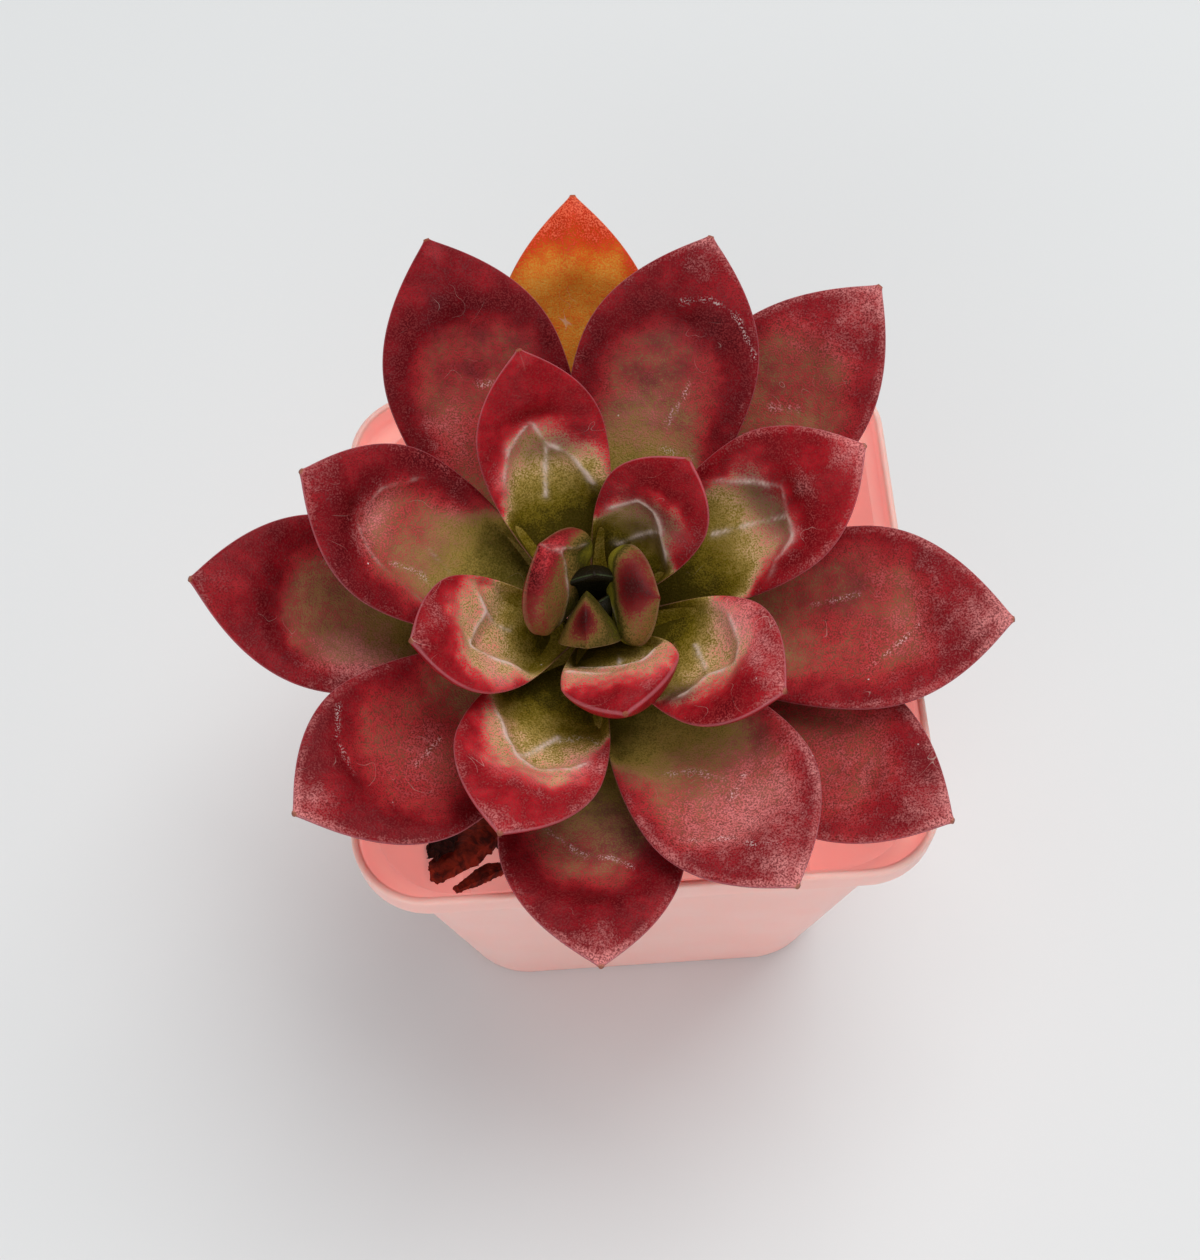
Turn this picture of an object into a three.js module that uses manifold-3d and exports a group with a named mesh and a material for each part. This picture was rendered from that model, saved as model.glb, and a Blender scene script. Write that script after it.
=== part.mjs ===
// A potted echeveria: one rosette of thick, pointed leaves on a short leaning stem. The stem stands in a
// dark root ball with a few bark chips, inside a square plastic pot that is much wider than the root ball.
// Millimetres, +Z up, -Y is the front. The origin is the middle of the pot's base.

import * as THREE from 'three';
import { mergeVertices } from 'three/addons/utils/BufferGeometryUtils.js';
import Module from 'manifold-3d';

const wasm = await Module();
wasm.setup();

// Pot: a square tub with round corners, tapering down, with a slightly wider band round its rim
const POT_TOP_WIDTH = 70;
const POT_BASE_WIDTH = 55;
const POT_HEIGHT = 65;
const RIM_BAND_HEIGHT = 4;
const RIM_OVERHANG = 1.3;
const RIM_ROUNDING = 0.35;
const POT_WALL = 1;
const POT_FLOOR = 1.2;
const FOOT_ROUNDING = 1;
const RIM_CORNER_RADIUS = 9.2;
const BODY_CORNER_RADIUS = 11;
const CORNER_STEPS = 6;
const DRAIN_RADIUS = 3;
const DRAIN_OFFSET = 14;
const DRAIN_SIDES = 12;
const BAND_FOOT = POT_HEIGHT - RIM_BAND_HEIGHT;

// The gap that touching pieces keep
const CLEARANCE = 0.3;

// Rosette: the heart's tip, the way its axis leans, and the golden-angle spiral of its leaves
const HEART = new THREE.Vector3(-4.2, -5.1, 84);
const LEAN_TO_FRONT = THREE.MathUtils.degToRad(12);
const LEAN_TO_RIGHT = THREE.MathUtils.degToRad(3);
const GOLDEN_ANGLE = 137.5;
const SPIRAL_START = 224;
const CORE_LEAVES = 2;
const FIRST_ROOT_DEPTH = 9.2;
const ROOT_PITCH = 0.72;
const CORE_ROOT_RADIUS = 1;

// Stem: its radius where the first leaves sit, at the lowest leaves, and where it enters the root ball
const STEM_TOP_RADIUS = 1.8;
const STEM_LEAF_RADIUS = 3.4;
const STEM_FOOT_RADIUS = 4;
const STEM_TOP_DEPTH = 8.4;
const STEM_NECK = 2;
const STEM_STEPS = 6;
const STEM_SIDES = 14;
const STEM_FOOT = new THREE.Vector3(-5, 3.4, 30);

// Root ball: a mound that narrows from its foot to the stem
const BALL_CENTRE = new THREE.Vector2(-5, 2);
const BALL_TOP = 46;
const BALL_FOOT_RADIUS = 19.5;
const BALL_TOP_RADIUS = 7.5;
const BALL_FULLNESS = 2.2;
const BALL_SIDES = 20;
const BALL_RINGS = 8;
const BALL_ROUGHNESS = 0.09;
const BALL_LUMPS = 5;
const BALL_LAYERS = 0.35;

// Leaf outline: share of the length at which a leaf is widest, how it widens up to there and how blunt
// its tip is, with the widths and thicknesses that every leaf has at its root and at its tip
const WIDEST_AT = 0.63;
const WIDENING = 1.15;
const TIP_BLUNTNESS = 2.4;
const ROOT_WIDTH = 5;
const WIDEST_ROOT_SHARE = 0.75;
const ROOT_THICKNESS = 1.6;
const TIP_THICKNESS = 0.7;
const TIP_WIDTH = 0.7;

// Leaf section: how much the underside narrows to a keel, the share of the length from which the hollow
// upper face flattens towards the tip, and the share of its cup that is left there
const KEEL = 1.3;
const FLATTENS_FROM = 0.65;
const CUP_AT_TIP = 0.2;

// Share of the thickness above the margins in a grown leaf and in each of the youngest ones, which fill
// the heart, and how far those are twisted counterclockwise (degrees) by the leaves that press on them
const TOP_SHARE = 0.3;
const YOUNG_TOP_SHARES = [0.3, 0.3, 0.76, 0.6, 0.64, 0.42];
const YOUNG_TWISTS = [0, 0, 14, 14, 14, 6];

// Rings along a leaf and points round each ring, and how closely the rings crowd towards the tip
const SMALL_LEAF_WIDTH = 12;
const SMALL_LEAF = { slices: 8, sides: 12 };
const LARGE_LEAF = { slices: 11, sides: 16 };
const CROWDING = 1.2;

// One row per leaf from the heart outwards: turn away from the golden angle (degrees), reach of the tip
// from the axis, rise of the tip above the heart, width, thickness, how far the leaf bows below its
// chord (degrees), how much its margins rise (cup, as a share of half its width), and how far its body
// sweeps sideways between root and tip, counterclockwise seen from above
const LEAVES = [
  { turn: 0, reach: 0.4, rise: -5, width: 4.2, thick: 2.2, bow: 10, cup: 0.1, sweep: 0 },
  { turn: 4, reach: 2.6, rise: -3, width: 7, thick: 2.6, bow: 8, cup: 0.2, sweep: 0 },
  { turn: 33, reach: 5.2, rise: -1.4, width: 7.4, thick: 6.6, bow: 8, cup: 0, sweep: -0.1 },
  { turn: -11, reach: 6.3, rise: -0.6, width: 12, thick: 5.6, bow: 8, cup: 0.4, sweep: 1 },
  { turn: -2, reach: 7.3, rise: 0, width: 13.6, thick: 6, bow: 10, cup: 0.4, sweep: 1.2 },
  { turn: 2, reach: 14.8, rise: 0.8, width: 14, thick: 5.4, bow: -4, cup: 0.34, sweep: 1 },
  { turn: -2.5, reach: 18, rise: 3, width: 13.5, thick: 4.6, bow: 6, cup: 0.28, sweep: 0.3 },
  { turn: 3, reach: 21.8, rise: 3, width: 14.5, thick: 4.8, bow: 2, cup: 0.26, sweep: 0.3 },
  { turn: -3, reach: 24, rise: 3, width: 16.5, thick: 5, bow: 2, cup: 0.26, sweep: 0.5 },
  { turn: -1.5, reach: 28.8, rise: 4, width: 15.5, thick: 4.6, bow: 6, cup: 0.28, sweep: 0.2 },
  { turn: 1.5, reach: 30, rise: 3, width: 17.5, thick: 5, bow: 4, cup: 0.26, sweep: -0.4 },
  { turn: 3.5, reach: 35, rise: 3, width: 18, thick: 5, bow: 6, cup: 0.26, sweep: 0.3 },
  { turn: -3.5, reach: 36, rise: 2.5, width: 19.5, thick: 5.2, bow: 6, cup: 0.26, sweep: 0.7 },
  { turn: 3, reach: 40, rise: 1.2, width: 21.5, thick: 5.4, bow: 5, cup: 0.25, sweep: 0.5 },
  { turn: -5, reach: 45.5, rise: 1, width: 22, thick: 5.4, bow: 7, cup: 0.25, sweep: 0.5 },
  { turn: 2.5, reach: 42, rise: -0.3, width: 22, thick: 5.4, bow: 6, cup: 0.24, sweep: 1.2 },
  { turn: 4.2, reach: 48.2, rise: -1, width: 22.5, thick: 5.4, bow: 6, cup: 0.24, sweep: 0.9 },
  { turn: -15, reach: 48, rise: -1.5, width: 22.5, thick: 5.4, bow: 7, cup: 0.24, sweep: 0.8 },
  { turn: 3, reach: 42, rise: -1.2, width: 21.5, thick: 5.4, bow: 5, cup: 0.24, sweep: -0.6 },
  { turn: 3.5, reach: 52.4, rise: -3, width: 21.5, thick: 5.2, bow: 7, cup: 0.22, sweep: 0.4 },
  { turn: -4.5, reach: 46.5, rise: -3, width: 21.5, thick: 5.2, bow: 6, cup: 0.22, sweep: 0.5 },
  { turn: 7.5, reach: 48, rise: -3.5, width: 21, thick: 5.2, bow: 6, cup: 0.22, sweep: 0.8 },
  { turn: -4.5, reach: 51, rise: -4, width: 20.5, thick: 5, bow: 7, cup: 0.22, sweep: 0 },
];

// Bark chips wedged between the pot's near left corner and the root ball, and a crumb of soil on them:
// one end, the other end, width, thickness and how far the middle bows up. They share one rough section,
// as half widths across and half thicknesses up, which shrinks to CHIP_END at both ends.
const BARK_CHIPS = [
  { from: [-28.6, -21.2, 31], to: [-19.5, -8.5, 14], width: 6.4, thickness: 2.8, bow: 1.2 },
  { from: [-26.6, -19.6, 19], to: [-18, -12.6, 8], width: 2.6, thickness: 2.2, bow: 0.6 },
];
const SOIL_CRUMB = { from: [-29, -18.4, 31], to: [-26.2, -14.2, 27], width: 4.2, thickness: 3.2, bow: 0 };
const CHIP_SECTION = [
  [1, 0.1], [0.85, 1], [0.1, 1.25], [-0.7, 0.9], [-1, -0.2], [-0.6, -1], [0.2, -0.8], [0.9, -0.9],
];
const CHIP_STEPS = 6;
const CHIP_END = 0.55;
const CHIP_ROUGHNESS = 0.16;

// Three waves that make rough pieces uneven: their rates along x, y and z, and where each starts
const WAVES = [
  { rate: new THREE.Vector3(0.9, 0, 0.35), start: 0 },
  { rate: new THREE.Vector3(0, 1.1, -0.5), start: 2 },
  { rate: new THREE.Vector3(0.6, 0.6, 0.8), start: 0 },
];

const COLORS = {
  pot: 0xe3a8a6,
  soil: 0x1c1512,
  bark: 0x4a2a1a,
  stem: 0x7d6a4c,
  innerLeaf: 0x9a7a5a,
  outerLeaf: 0x9c3a48,
};
const INNER_LEAVES = 12;

// Closed body through rings of points, all with the same count, with a fan over each end
function loft(rings) {
  const sides = rings[0].length;
  const positions = [];
  const indices = [];
  const middle = (ring) => ring.reduce((sum, p) => sum.add(p), new THREE.Vector3()).divideScalar(sides);
  for (const ring of rings) {
    for (const p of ring) positions.push(p.x, p.y, p.z);
  }
  for (let i = 0; i + 1 < rings.length; i++) {
    for (let j = 0; j < sides; j++) {
      const a = i * sides + j;
      const b = i * sides + (j + 1) % sides;
      indices.push(a, b, b + sides, a, b + sides, a + sides);
    }
  }
  const first = rings.length * sides;
  const last = first + 1;
  const top = (rings.length - 1) * sides;
  for (const ring of [rings[0], rings[rings.length - 1]]) {
    const m = middle(ring);
    positions.push(m.x, m.y, m.z);
  }
  for (let j = 0; j < sides; j++) {
    const k = (j + 1) % sides;
    indices.push(first, k, j, last, top + j, top + k);
  }
  const geometry = new THREE.BufferGeometry();
  geometry.setAttribute('position', new THREE.Float32BufferAttribute(positions, 3));
  geometry.setIndex(indices);
  return geometry;
}

function toSolid(geometry) {
  const plain = geometry.clone();
  plain.deleteAttribute('normal');
  plain.deleteAttribute('uv');
  const merged = mergeVertices(plain, 1e-4);
  return new wasm.Manifold(new wasm.Mesh({
    numProp: 3,
    vertProperties: new Float32Array(merged.attributes.position.array),
    triVerts: new Uint32Array(merged.index.array),
  }));
}

function toGeometry(solid) {
  const mesh = solid.getMesh();
  const geometry = new THREE.BufferGeometry();
  geometry.setAttribute('position', new THREE.Float32BufferAttribute(mesh.vertProperties, 3));
  geometry.setIndex(new THREE.Uint32BufferAttribute(mesh.triVerts, 1));
  return geometry;
}

// The largest body of a solid, without the loose scraps that a cut can leave
function largest(solid) {
  return solid.decompose().reduce((best, piece) => (piece.volume() > best.volume() ? piece : best));
}

function addMesh(group, name, geometry, color, roughness) {
  geometry.computeVertexNormals();
  const material = new THREE.MeshStandardMaterial({ color, roughness, metalness: 0 });
  const mesh = new THREE.Mesh(geometry, material);
  mesh.name = name;
  group.add(mesh);
}

// Smooth wavering that depends on the point alone, from -1 to 1
function waver(x, y, z) {
  const point = new THREE.Vector3(x, y, z);
  return WAVES.reduce((sum, wave) => sum + Math.sin(wave.rate.dot(point) + wave.start), 0) / WAVES.length;
}

// Outline of a square with round corners, counterclockwise seen from above
function squareRing(width, cornerRadius, z) {
  const ring = [];
  const inset = width / 2 - cornerRadius;
  for (let corner = 0; corner < 4; corner++) {
    const start = corner * Math.PI / 2;
    const cx = inset * Math.SQRT2 * Math.cos(start + Math.PI / 4);
    const cy = inset * Math.SQRT2 * Math.sin(start + Math.PI / 4);
    for (let i = 0; i <= CORNER_STEPS; i++) {
      const angle = start + i / CORNER_STEPS * Math.PI / 2;
      const x = cx + cornerRadius * Math.cos(angle);
      const y = cy + cornerRadius * Math.sin(angle);
      ring.push(new THREE.Vector3(x, y, z));
    }
  }
  return ring;
}

function bodyRing(z, inset = 0) {
  const bodyTop = POT_TOP_WIDTH - 2 * RIM_OVERHANG;
  const width = POT_BASE_WIDTH + (bodyTop - POT_BASE_WIDTH) * z / BAND_FOOT;
  return squareRing(width - 2 * inset, BODY_CORNER_RADIUS - inset, z);
}

function bandRing(z, inset = 0) {
  return squareRing(POT_TOP_WIDTH - 2 * inset, RIM_CORNER_RADIUS - inset, z);
}

// The space inside the pot's body, kept clear of its wall
function makePotInside() {
  const inset = POT_WALL + CLEARANCE;
  return toSolid(loft([bodyRing(POT_FLOOR + CLEARANCE, inset), bodyRing(BAND_FOOT, inset)]));
}

function makePot() {
  const wall = loft([
    bodyRing(0, FOOT_ROUNDING),
    bodyRing(FOOT_ROUNDING),
    bodyRing(BAND_FOOT),
    bandRing(BAND_FOOT),
    bandRing(POT_HEIGHT - RIM_ROUNDING),
    bandRing(POT_HEIGHT, RIM_ROUNDING),
    bandRing(POT_HEIGHT, POT_WALL),
    bandRing(BAND_FOOT + POT_WALL, POT_WALL),
    bodyRing(BAND_FOOT, POT_WALL),
    bodyRing(POT_FLOOR, POT_WALL),
  ]);
  let pot = toSolid(wall);
  const drainLength = 4 * POT_FLOOR;
  for (const sx of [-1, 1]) {
    for (const sy of [-1, 1]) {
      const drain = new THREE.CylinderGeometry(DRAIN_RADIUS, DRAIN_RADIUS, drainLength, DRAIN_SIDES);
      drain.rotateX(Math.PI / 2);
      drain.translate(sx * DRAIN_OFFSET, sy * DRAIN_OFFSET, 0);
      pot = pot.subtract(toSolid(drain));
    }
  }
  return pot;
}

// The rosette's own frame: z along its axis, origin at the heart
function rosetteMatrix() {
  const axis = new THREE.Vector3(Math.tan(LEAN_TO_RIGHT), -Math.tan(LEAN_TO_FRONT), 1).normalize();
  const x = new THREE.Vector3(1, 0, 0);
  x.addScaledVector(axis, -x.dot(axis)).normalize();
  const y = new THREE.Vector3().crossVectors(axis, x);
  return new THREE.Matrix4().makeBasis(x, y, axis).setPosition(HEART);
}

const ROSETTE = rosetteMatrix();
const LOWEST_ROOT_DEPTH = FIRST_ROOT_DEPTH + ROOT_PITCH * (LEAVES.length - 1 - CORE_LEAVES);

function stemRadius(depth) {
  const leafLength = LOWEST_ROOT_DEPTH - STEM_TOP_DEPTH;
  const share = THREE.MathUtils.clamp((depth - STEM_TOP_DEPTH) / leafLength, 0, 1);
  return STEM_TOP_RADIUS + (STEM_LEAF_RADIUS - STEM_TOP_RADIUS) * Math.sqrt(share);
}

// Ring of points round the stem, square to its run
function stemRing(centre, along, radius) {
  const across = new THREE.Vector3(1, 0, 0);
  across.addScaledVector(along, -across.dot(along)).normalize();
  const other = new THREE.Vector3().crossVectors(along, across);
  const ring = [];
  for (let j = 0; j < STEM_SIDES; j++) {
    const angle = -j / STEM_SIDES * 2 * Math.PI;
    const point = centre.clone();
    point.addScaledVector(across, radius * Math.cos(angle));
    point.addScaledVector(other, radius * Math.sin(angle));
    ring.push(point);
  }
  return ring;
}

// The stem follows the rosette's axis past the lowest leaf, then bends down into the root ball
function makeStem(grow) {
  const rings = [];
  const axis = new THREE.Vector3().setFromMatrixColumn(ROSETTE, 2);
  const topDepth = STEM_TOP_DEPTH - grow;
  const neckDepth = LOWEST_ROOT_DEPTH + STEM_NECK;
  for (let i = 0; i <= STEM_STEPS; i++) {
    const depth = topDepth + (neckDepth - topDepth) * i / STEM_STEPS;
    const centre = HEART.clone().addScaledVector(axis, -depth);
    rings.push(stemRing(centre, axis, stemRadius(depth) + grow));
  }
  const neck = HEART.clone().addScaledVector(axis, -neckDepth);
  const foot = STEM_FOOT.clone();
  foot.z -= grow;
  const knee = neck.clone().addScaledVector(axis, (foot.z - neck.z) / 2);
  const bend = new THREE.QuadraticBezierCurve3(neck, knee, foot);
  for (let i = 1; i <= STEM_STEPS; i++) {
    const share = i / STEM_STEPS;
    const radius = STEM_LEAF_RADIUS + (STEM_FOOT_RADIUS - STEM_LEAF_RADIUS) * share;
    rings.push(stemRing(bend.getPoint(share), bend.getTangent(share).negate(), radius + grow));
  }
  return toSolid(loft(rings));
}

// Share of the full width at a share of the length: narrow at the root, pointed at the tip
function outline(share, rootShare) {
  if (share < WIDEST_AT) {
    return rootShare + (1 - rootShare) * Math.sin(share / WIDEST_AT * Math.PI / 2) ** WIDENING;
  }
  return 1 - ((share - WIDEST_AT) / (1 - WIDEST_AT)) ** TIP_BLUNTNESS;
}

function leafAngle(index) {
  return THREE.MathUtils.degToRad(SPIRAL_START + GOLDEN_ANGLE * (index - CORE_LEAVES) + LEAVES[index].turn);
}

// The leaf's middle line from the stem to its tip, as distance from the axis and height over the heart
function leafSpine(index) {
  const leaf = LEAVES[index];
  const order = index - CORE_LEAVES;
  const rootDepth = order < 0 ? STEM_TOP_DEPTH - CLEARANCE : FIRST_ROOT_DEPTH + ROOT_PITCH * order;
  const rootRadius = order < 0 ? CORE_ROOT_RADIUS : stemRadius(rootDepth) + CLEARANCE;
  const root = new THREE.Vector2(rootRadius, -rootDepth);
  const tip = new THREE.Vector2(leaf.reach, leaf.rise);
  const chord = tip.clone().sub(root);
  const below = new THREE.Vector2(chord.y, -chord.x);
  const knee = root.clone().add(tip).multiplyScalar(0.5);
  knee.addScaledVector(below, 0.5 * Math.tan(THREE.MathUtils.degToRad(leaf.bow)));
  return new THREE.QuadraticBezierCurve(root, knee, tip);
}

// A leaf in the rosette's frame, grown outwards by a margin when it is used to clear its neighbours
function makeLeaf(index, grow) {
  const leaf = LEAVES[index];
  const { slices, sides } = leaf.width < SMALL_LEAF_WIDTH ? SMALL_LEAF : LARGE_LEAF;
  const spine = leafSpine(index);
  const rootShare = Math.min(WIDEST_ROOT_SHARE, ROOT_WIDTH / leaf.width);
  const angle = leafAngle(index);
  const twist = THREE.MathUtils.degToRad(YOUNG_TWISTS[index] ?? 0);
  const topShare = YOUNG_TOP_SHARES[index] ?? TOP_SHARE;
  const outward = new THREE.Vector3(Math.cos(angle), Math.sin(angle), 0);
  const sideways = new THREE.Vector3(-Math.sin(angle), Math.cos(angle), 0);
  const up = new THREE.Vector3(0, 0, 1);
  const rings = [];
  for (let i = 0; i <= slices; i++) {
    const share = Math.sin(i / slices * Math.PI / 2) ** CROWDING;
    const middle = spine.getPoint(share);
    const tangent = spine.getTangent(share);
    const half = Math.max(TIP_WIDTH, leaf.width * outline(share, rootShare)) / 2;
    const swell = Math.sin(Math.min(1, share / WIDEST_AT) * Math.PI / 2);
    const taper = 1 - Math.max(0, (share - WIDEST_AT) / (1 - WIDEST_AT)) ** 2;
    const flattening = (1 - CUP_AT_TIP) * THREE.MathUtils.smoothstep(share, FLATTENS_FROM, 1);
    const cup = leaf.cup * swell * (1 - flattening);
    const full = ROOT_THICKNESS + (leaf.thick - ROOT_THICKNESS) * swell;
    const thickness = full * taper + TIP_THICKNESS * (1 - taper);
    const run = new THREE.Vector3().addScaledVector(outward, tangent.x).addScaledVector(up, tangent.y);
    const normal = new THREE.Vector3().crossVectors(run, sideways).applyAxisAngle(run, twist);
    const width = sideways.clone().applyAxisAngle(run, twist);
    const centre = new THREE.Vector3().addScaledVector(outward, middle.x).addScaledVector(up, middle.y);
    centre.addScaledVector(sideways, leaf.sweep * Math.sin(share * Math.PI));
    const ring = [];
    for (let j = 0; j < sides; j++) {
      const across = Math.cos(j / sides * 2 * Math.PI);
      const over = Math.sin(j / sides * 2 * Math.PI);
      const skin = over > 0 ? topShare * over : (topShare - 1) * Math.abs(over) ** KEEL;
      const lift = cup * half * (across * across - 0.5) + thickness * skin;
      const point = centre.clone();
      point.addScaledVector(width, (half + grow) * across);
      point.addScaledVector(normal, lift + grow * over);
      ring.push(point);
    }
    rings.push(ring);
  }
  return toSolid(loft(rings));
}

// Every leaf, from the heart outwards, cleared where a neighbour further in presses on it. The youngest
// are so thick above their roots that they are also cleared round the stem's top.
function makeLeaves() {
  const solids = [];
  const stem = makeStem(CLEARANCE).transform(ROSETTE.clone().invert().elements);
  for (let index = 0; index < LEAVES.length; index++) {
    let leaf = makeLeaf(index, 0);
    if (index < YOUNG_TOP_SHARES.length) leaf = largest(leaf.subtract(stem));
    for (let inner = 0; inner < index; inner++) {
      const pressing = makeLeaf(inner, CLEARANCE);
      if (leaf.intersect(pressing).volume() > 0) leaf = largest(leaf.subtract(pressing));
    }
    solids.push(leaf);
  }
  return solids;
}

// A rough chip from one end to the other, grown by a margin when it is used to clear its neighbours
function makeChip({ from, to, width, thickness, bow }, grow) {
  const start = new THREE.Vector3(...from);
  const end = new THREE.Vector3(...to);
  const along = end.clone().sub(start).normalize();
  const across = new THREE.Vector3().crossVectors(new THREE.Vector3(0, 0, 1), along).normalize();
  const up = new THREE.Vector3().crossVectors(along, across);
  const rings = [];
  for (let i = 0; i <= CHIP_STEPS; i++) {
    const share = i / CHIP_STEPS;
    const centre = start.clone().lerp(end, share);
    centre.addScaledVector(up, bow * Math.sin(share * Math.PI));
    centre.addScaledVector(along, (share - 0.5) * 2 * grow);
    const fullness = CHIP_END + (1 - CHIP_END) * Math.sin(share * Math.PI);
    rings.push(CHIP_SECTION.map(([x, y], corner) => {
      const size = fullness * (1 + CHIP_ROUGHNESS * waver(start.x + 2 * i, start.y + 2 * corner, end.z));
      const point = centre.clone();
      point.addScaledVector(across, (width / 2 * size + grow) * x);
      point.addScaledVector(up, (thickness / 2 * size + grow) * y);
      return point;
    }));
  }
  return toSolid(loft(rings));
}

// The crumb lies on the chips, so they dent it
function makeSoilCrumb() {
  const crumb = BARK_CHIPS.reduce(
    (rest, chip) => rest.subtract(makeChip(chip, CLEARANCE)),
    makeChip(SOIL_CRUMB, 0),
  );
  return largest(crumb);
}

// A mound that stands on the pot's floor, with a hole for the stem and dents for the chips
function makeRootBall() {
  const rings = [];
  const foot = POT_FLOOR + CLEARANCE;
  for (let i = 0; i <= BALL_RINGS; i++) {
    const share = i / BALL_RINGS;
    const z = foot + (BALL_TOP - foot) * share;
    const radius = BALL_FOOT_RADIUS + (BALL_TOP_RADIUS - BALL_FOOT_RADIUS) * share ** BALL_FULLNESS;
    const ring = [];
    for (let j = 0; j < BALL_SIDES; j++) {
      const angle = j / BALL_SIDES * 2 * Math.PI;
      const x = Math.cos(angle);
      const y = Math.sin(angle);
      const lump = radius * (1 + BALL_ROUGHNESS * waver(BALL_LUMPS * x, BALL_LUMPS * y, BALL_LAYERS * z));
      ring.push(new THREE.Vector3(BALL_CENTRE.x + lump * x, BALL_CENTRE.y + lump * y, z));
    }
    rings.push(ring);
  }
  let ball = toSolid(loft(rings)).subtract(makeStem(CLEARANCE));
  for (const chip of BARK_CHIPS) ball = ball.subtract(makeChip(chip, CLEARANCE));
  return largest(ball);
}

const plant = new THREE.Group();
const inside = makePotInside();
addMesh(plant, 'pot', toGeometry(makePot()), COLORS.pot, 0.5);
addMesh(plant, 'root_ball', toGeometry(makeRootBall()), COLORS.soil, 1);
addMesh(plant, 'stem', toGeometry(makeStem(0)), COLORS.stem, 0.8);
BARK_CHIPS.forEach((chip, i) => {
  addMesh(plant, `bark_chip_${i + 1}`, toGeometry(makeChip(chip, 0).intersect(inside)), COLORS.bark, 0.9);
});
addMesh(plant, 'soil_crumb', toGeometry(makeSoilCrumb().intersect(inside)), COLORS.soil, 1);

const rosette = new THREE.Group();
rosette.applyMatrix4(ROSETTE);
plant.add(rosette);
makeLeaves().forEach((leaf, index) => {
  const name = `leaf_${String(index + 1).padStart(2, '0')}`;
  const color = index < INNER_LEAVES ? COLORS.innerLeaf : COLORS.outerLeaf;
  addMesh(rosette, name, toGeometry(leaf), color, 0.5);
});

export default plant;
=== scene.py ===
# %% [markdown]
# A potted echeveria, dressed for its portrait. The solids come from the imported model: a square pot, a
# root ball, a leaning stem and twenty-three leaves. Each soft or plain solid gets a finer piece here, made
# in the same place and to the same sizes, and every finish is built from shader nodes.

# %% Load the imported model
import math
from collections import namedtuple

import bmesh
import bpy
import numpy as np
from mathutils import Matrix, Vector, noise


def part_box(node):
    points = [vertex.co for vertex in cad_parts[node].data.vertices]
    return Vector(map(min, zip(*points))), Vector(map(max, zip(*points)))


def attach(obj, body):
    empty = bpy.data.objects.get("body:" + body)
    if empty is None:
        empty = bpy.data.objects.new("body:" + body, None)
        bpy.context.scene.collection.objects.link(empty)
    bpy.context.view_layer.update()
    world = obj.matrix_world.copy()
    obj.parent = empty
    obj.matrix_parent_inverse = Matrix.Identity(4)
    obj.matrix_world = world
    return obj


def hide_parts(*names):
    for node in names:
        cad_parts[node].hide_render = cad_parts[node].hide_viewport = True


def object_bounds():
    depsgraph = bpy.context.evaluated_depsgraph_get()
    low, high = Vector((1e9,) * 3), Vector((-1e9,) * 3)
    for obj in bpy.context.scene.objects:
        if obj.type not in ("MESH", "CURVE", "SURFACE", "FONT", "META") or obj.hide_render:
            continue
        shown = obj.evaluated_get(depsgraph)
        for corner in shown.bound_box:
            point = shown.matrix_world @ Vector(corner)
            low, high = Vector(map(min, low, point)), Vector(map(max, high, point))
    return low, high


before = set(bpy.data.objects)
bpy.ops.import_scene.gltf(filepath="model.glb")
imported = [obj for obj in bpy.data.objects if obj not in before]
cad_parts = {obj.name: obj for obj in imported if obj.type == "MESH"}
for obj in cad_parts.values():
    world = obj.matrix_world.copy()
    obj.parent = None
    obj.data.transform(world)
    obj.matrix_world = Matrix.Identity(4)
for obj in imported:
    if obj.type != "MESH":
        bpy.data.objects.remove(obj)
CAD_BOX = [list(corner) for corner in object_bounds()]
MM = 0.001
print("solids:", len(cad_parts), "box:", CAD_BOX)

# %% [markdown]
# The camera comes first, since every other choice is judged through it. It looks down on the heart of the
# rosette from in front. Its place was found by matching the pot's square rim and the leaf tips; the three
# directions below are its right, its top and the way back from the lens.

# %% Camera
CAMERA_PLACE = Vector((-6.8, -92.9, 261.5)) * MM
CAMERA_RIGHT = Vector((0.9979, -0.0627, -0.0146))
CAMERA_BACK = Vector((-0.0133, -0.4225, 0.9063))
LENS_MM = 49.8
SENSOR_MM = 36.0


def add_camera():
    data = bpy.data.cameras.new("portrait_camera")
    data.sensor_width = SENSOR_MM
    data.lens = LENS_MM
    data.clip_start = 0.01
    camera = bpy.data.objects.new("portrait_camera", data)
    back = CAMERA_BACK.normalized()
    right = (CAMERA_RIGHT - CAMERA_RIGHT.dot(back) * back).normalized()
    turn = Matrix((right, back.cross(right), back)).transposed().to_4x4()
    camera.matrix_world = Matrix.Translation(CAMERA_PLACE) @ turn
    bpy.context.scene.collection.objects.link(camera)
    bpy.context.scene.camera = camera
    return camera


camera = add_camera()
print("camera height over the table, m:", round(camera.matrix_world.translation.z, 3))

# %% [markdown]
# Soft daylight: one broad window light high up behind the plant and to its right, a weaker broad light from
# the front, and a pale even sky. Broad lights keep the waxy skin matt, and the high light keeps the hollows
# of the leaves darker than their rims. The Standard view keeps colours as they are chosen.

# %% Light
SKY_COLOR = (0.95, 0.97, 1.0, 1.0)
SKY_STRENGTH = 0.5
DAYLIGHT = (1.0, 0.99, 0.98)
AIM = Vector((0, 0, 0.06))


def add_window(name, place, size, power):
    data = bpy.data.lights.new(name, "AREA")
    data.shape = "RECTANGLE"
    data.size = size[0]
    data.size_y = size[1]
    data.energy = power
    data.color = DAYLIGHT
    lamp = bpy.data.objects.new(name, data)
    lamp.location = place
    lamp.rotation_euler = (AIM - lamp.location).to_track_quat("-Z", "Y").to_euler()
    bpy.context.scene.collection.objects.link(lamp)


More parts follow.
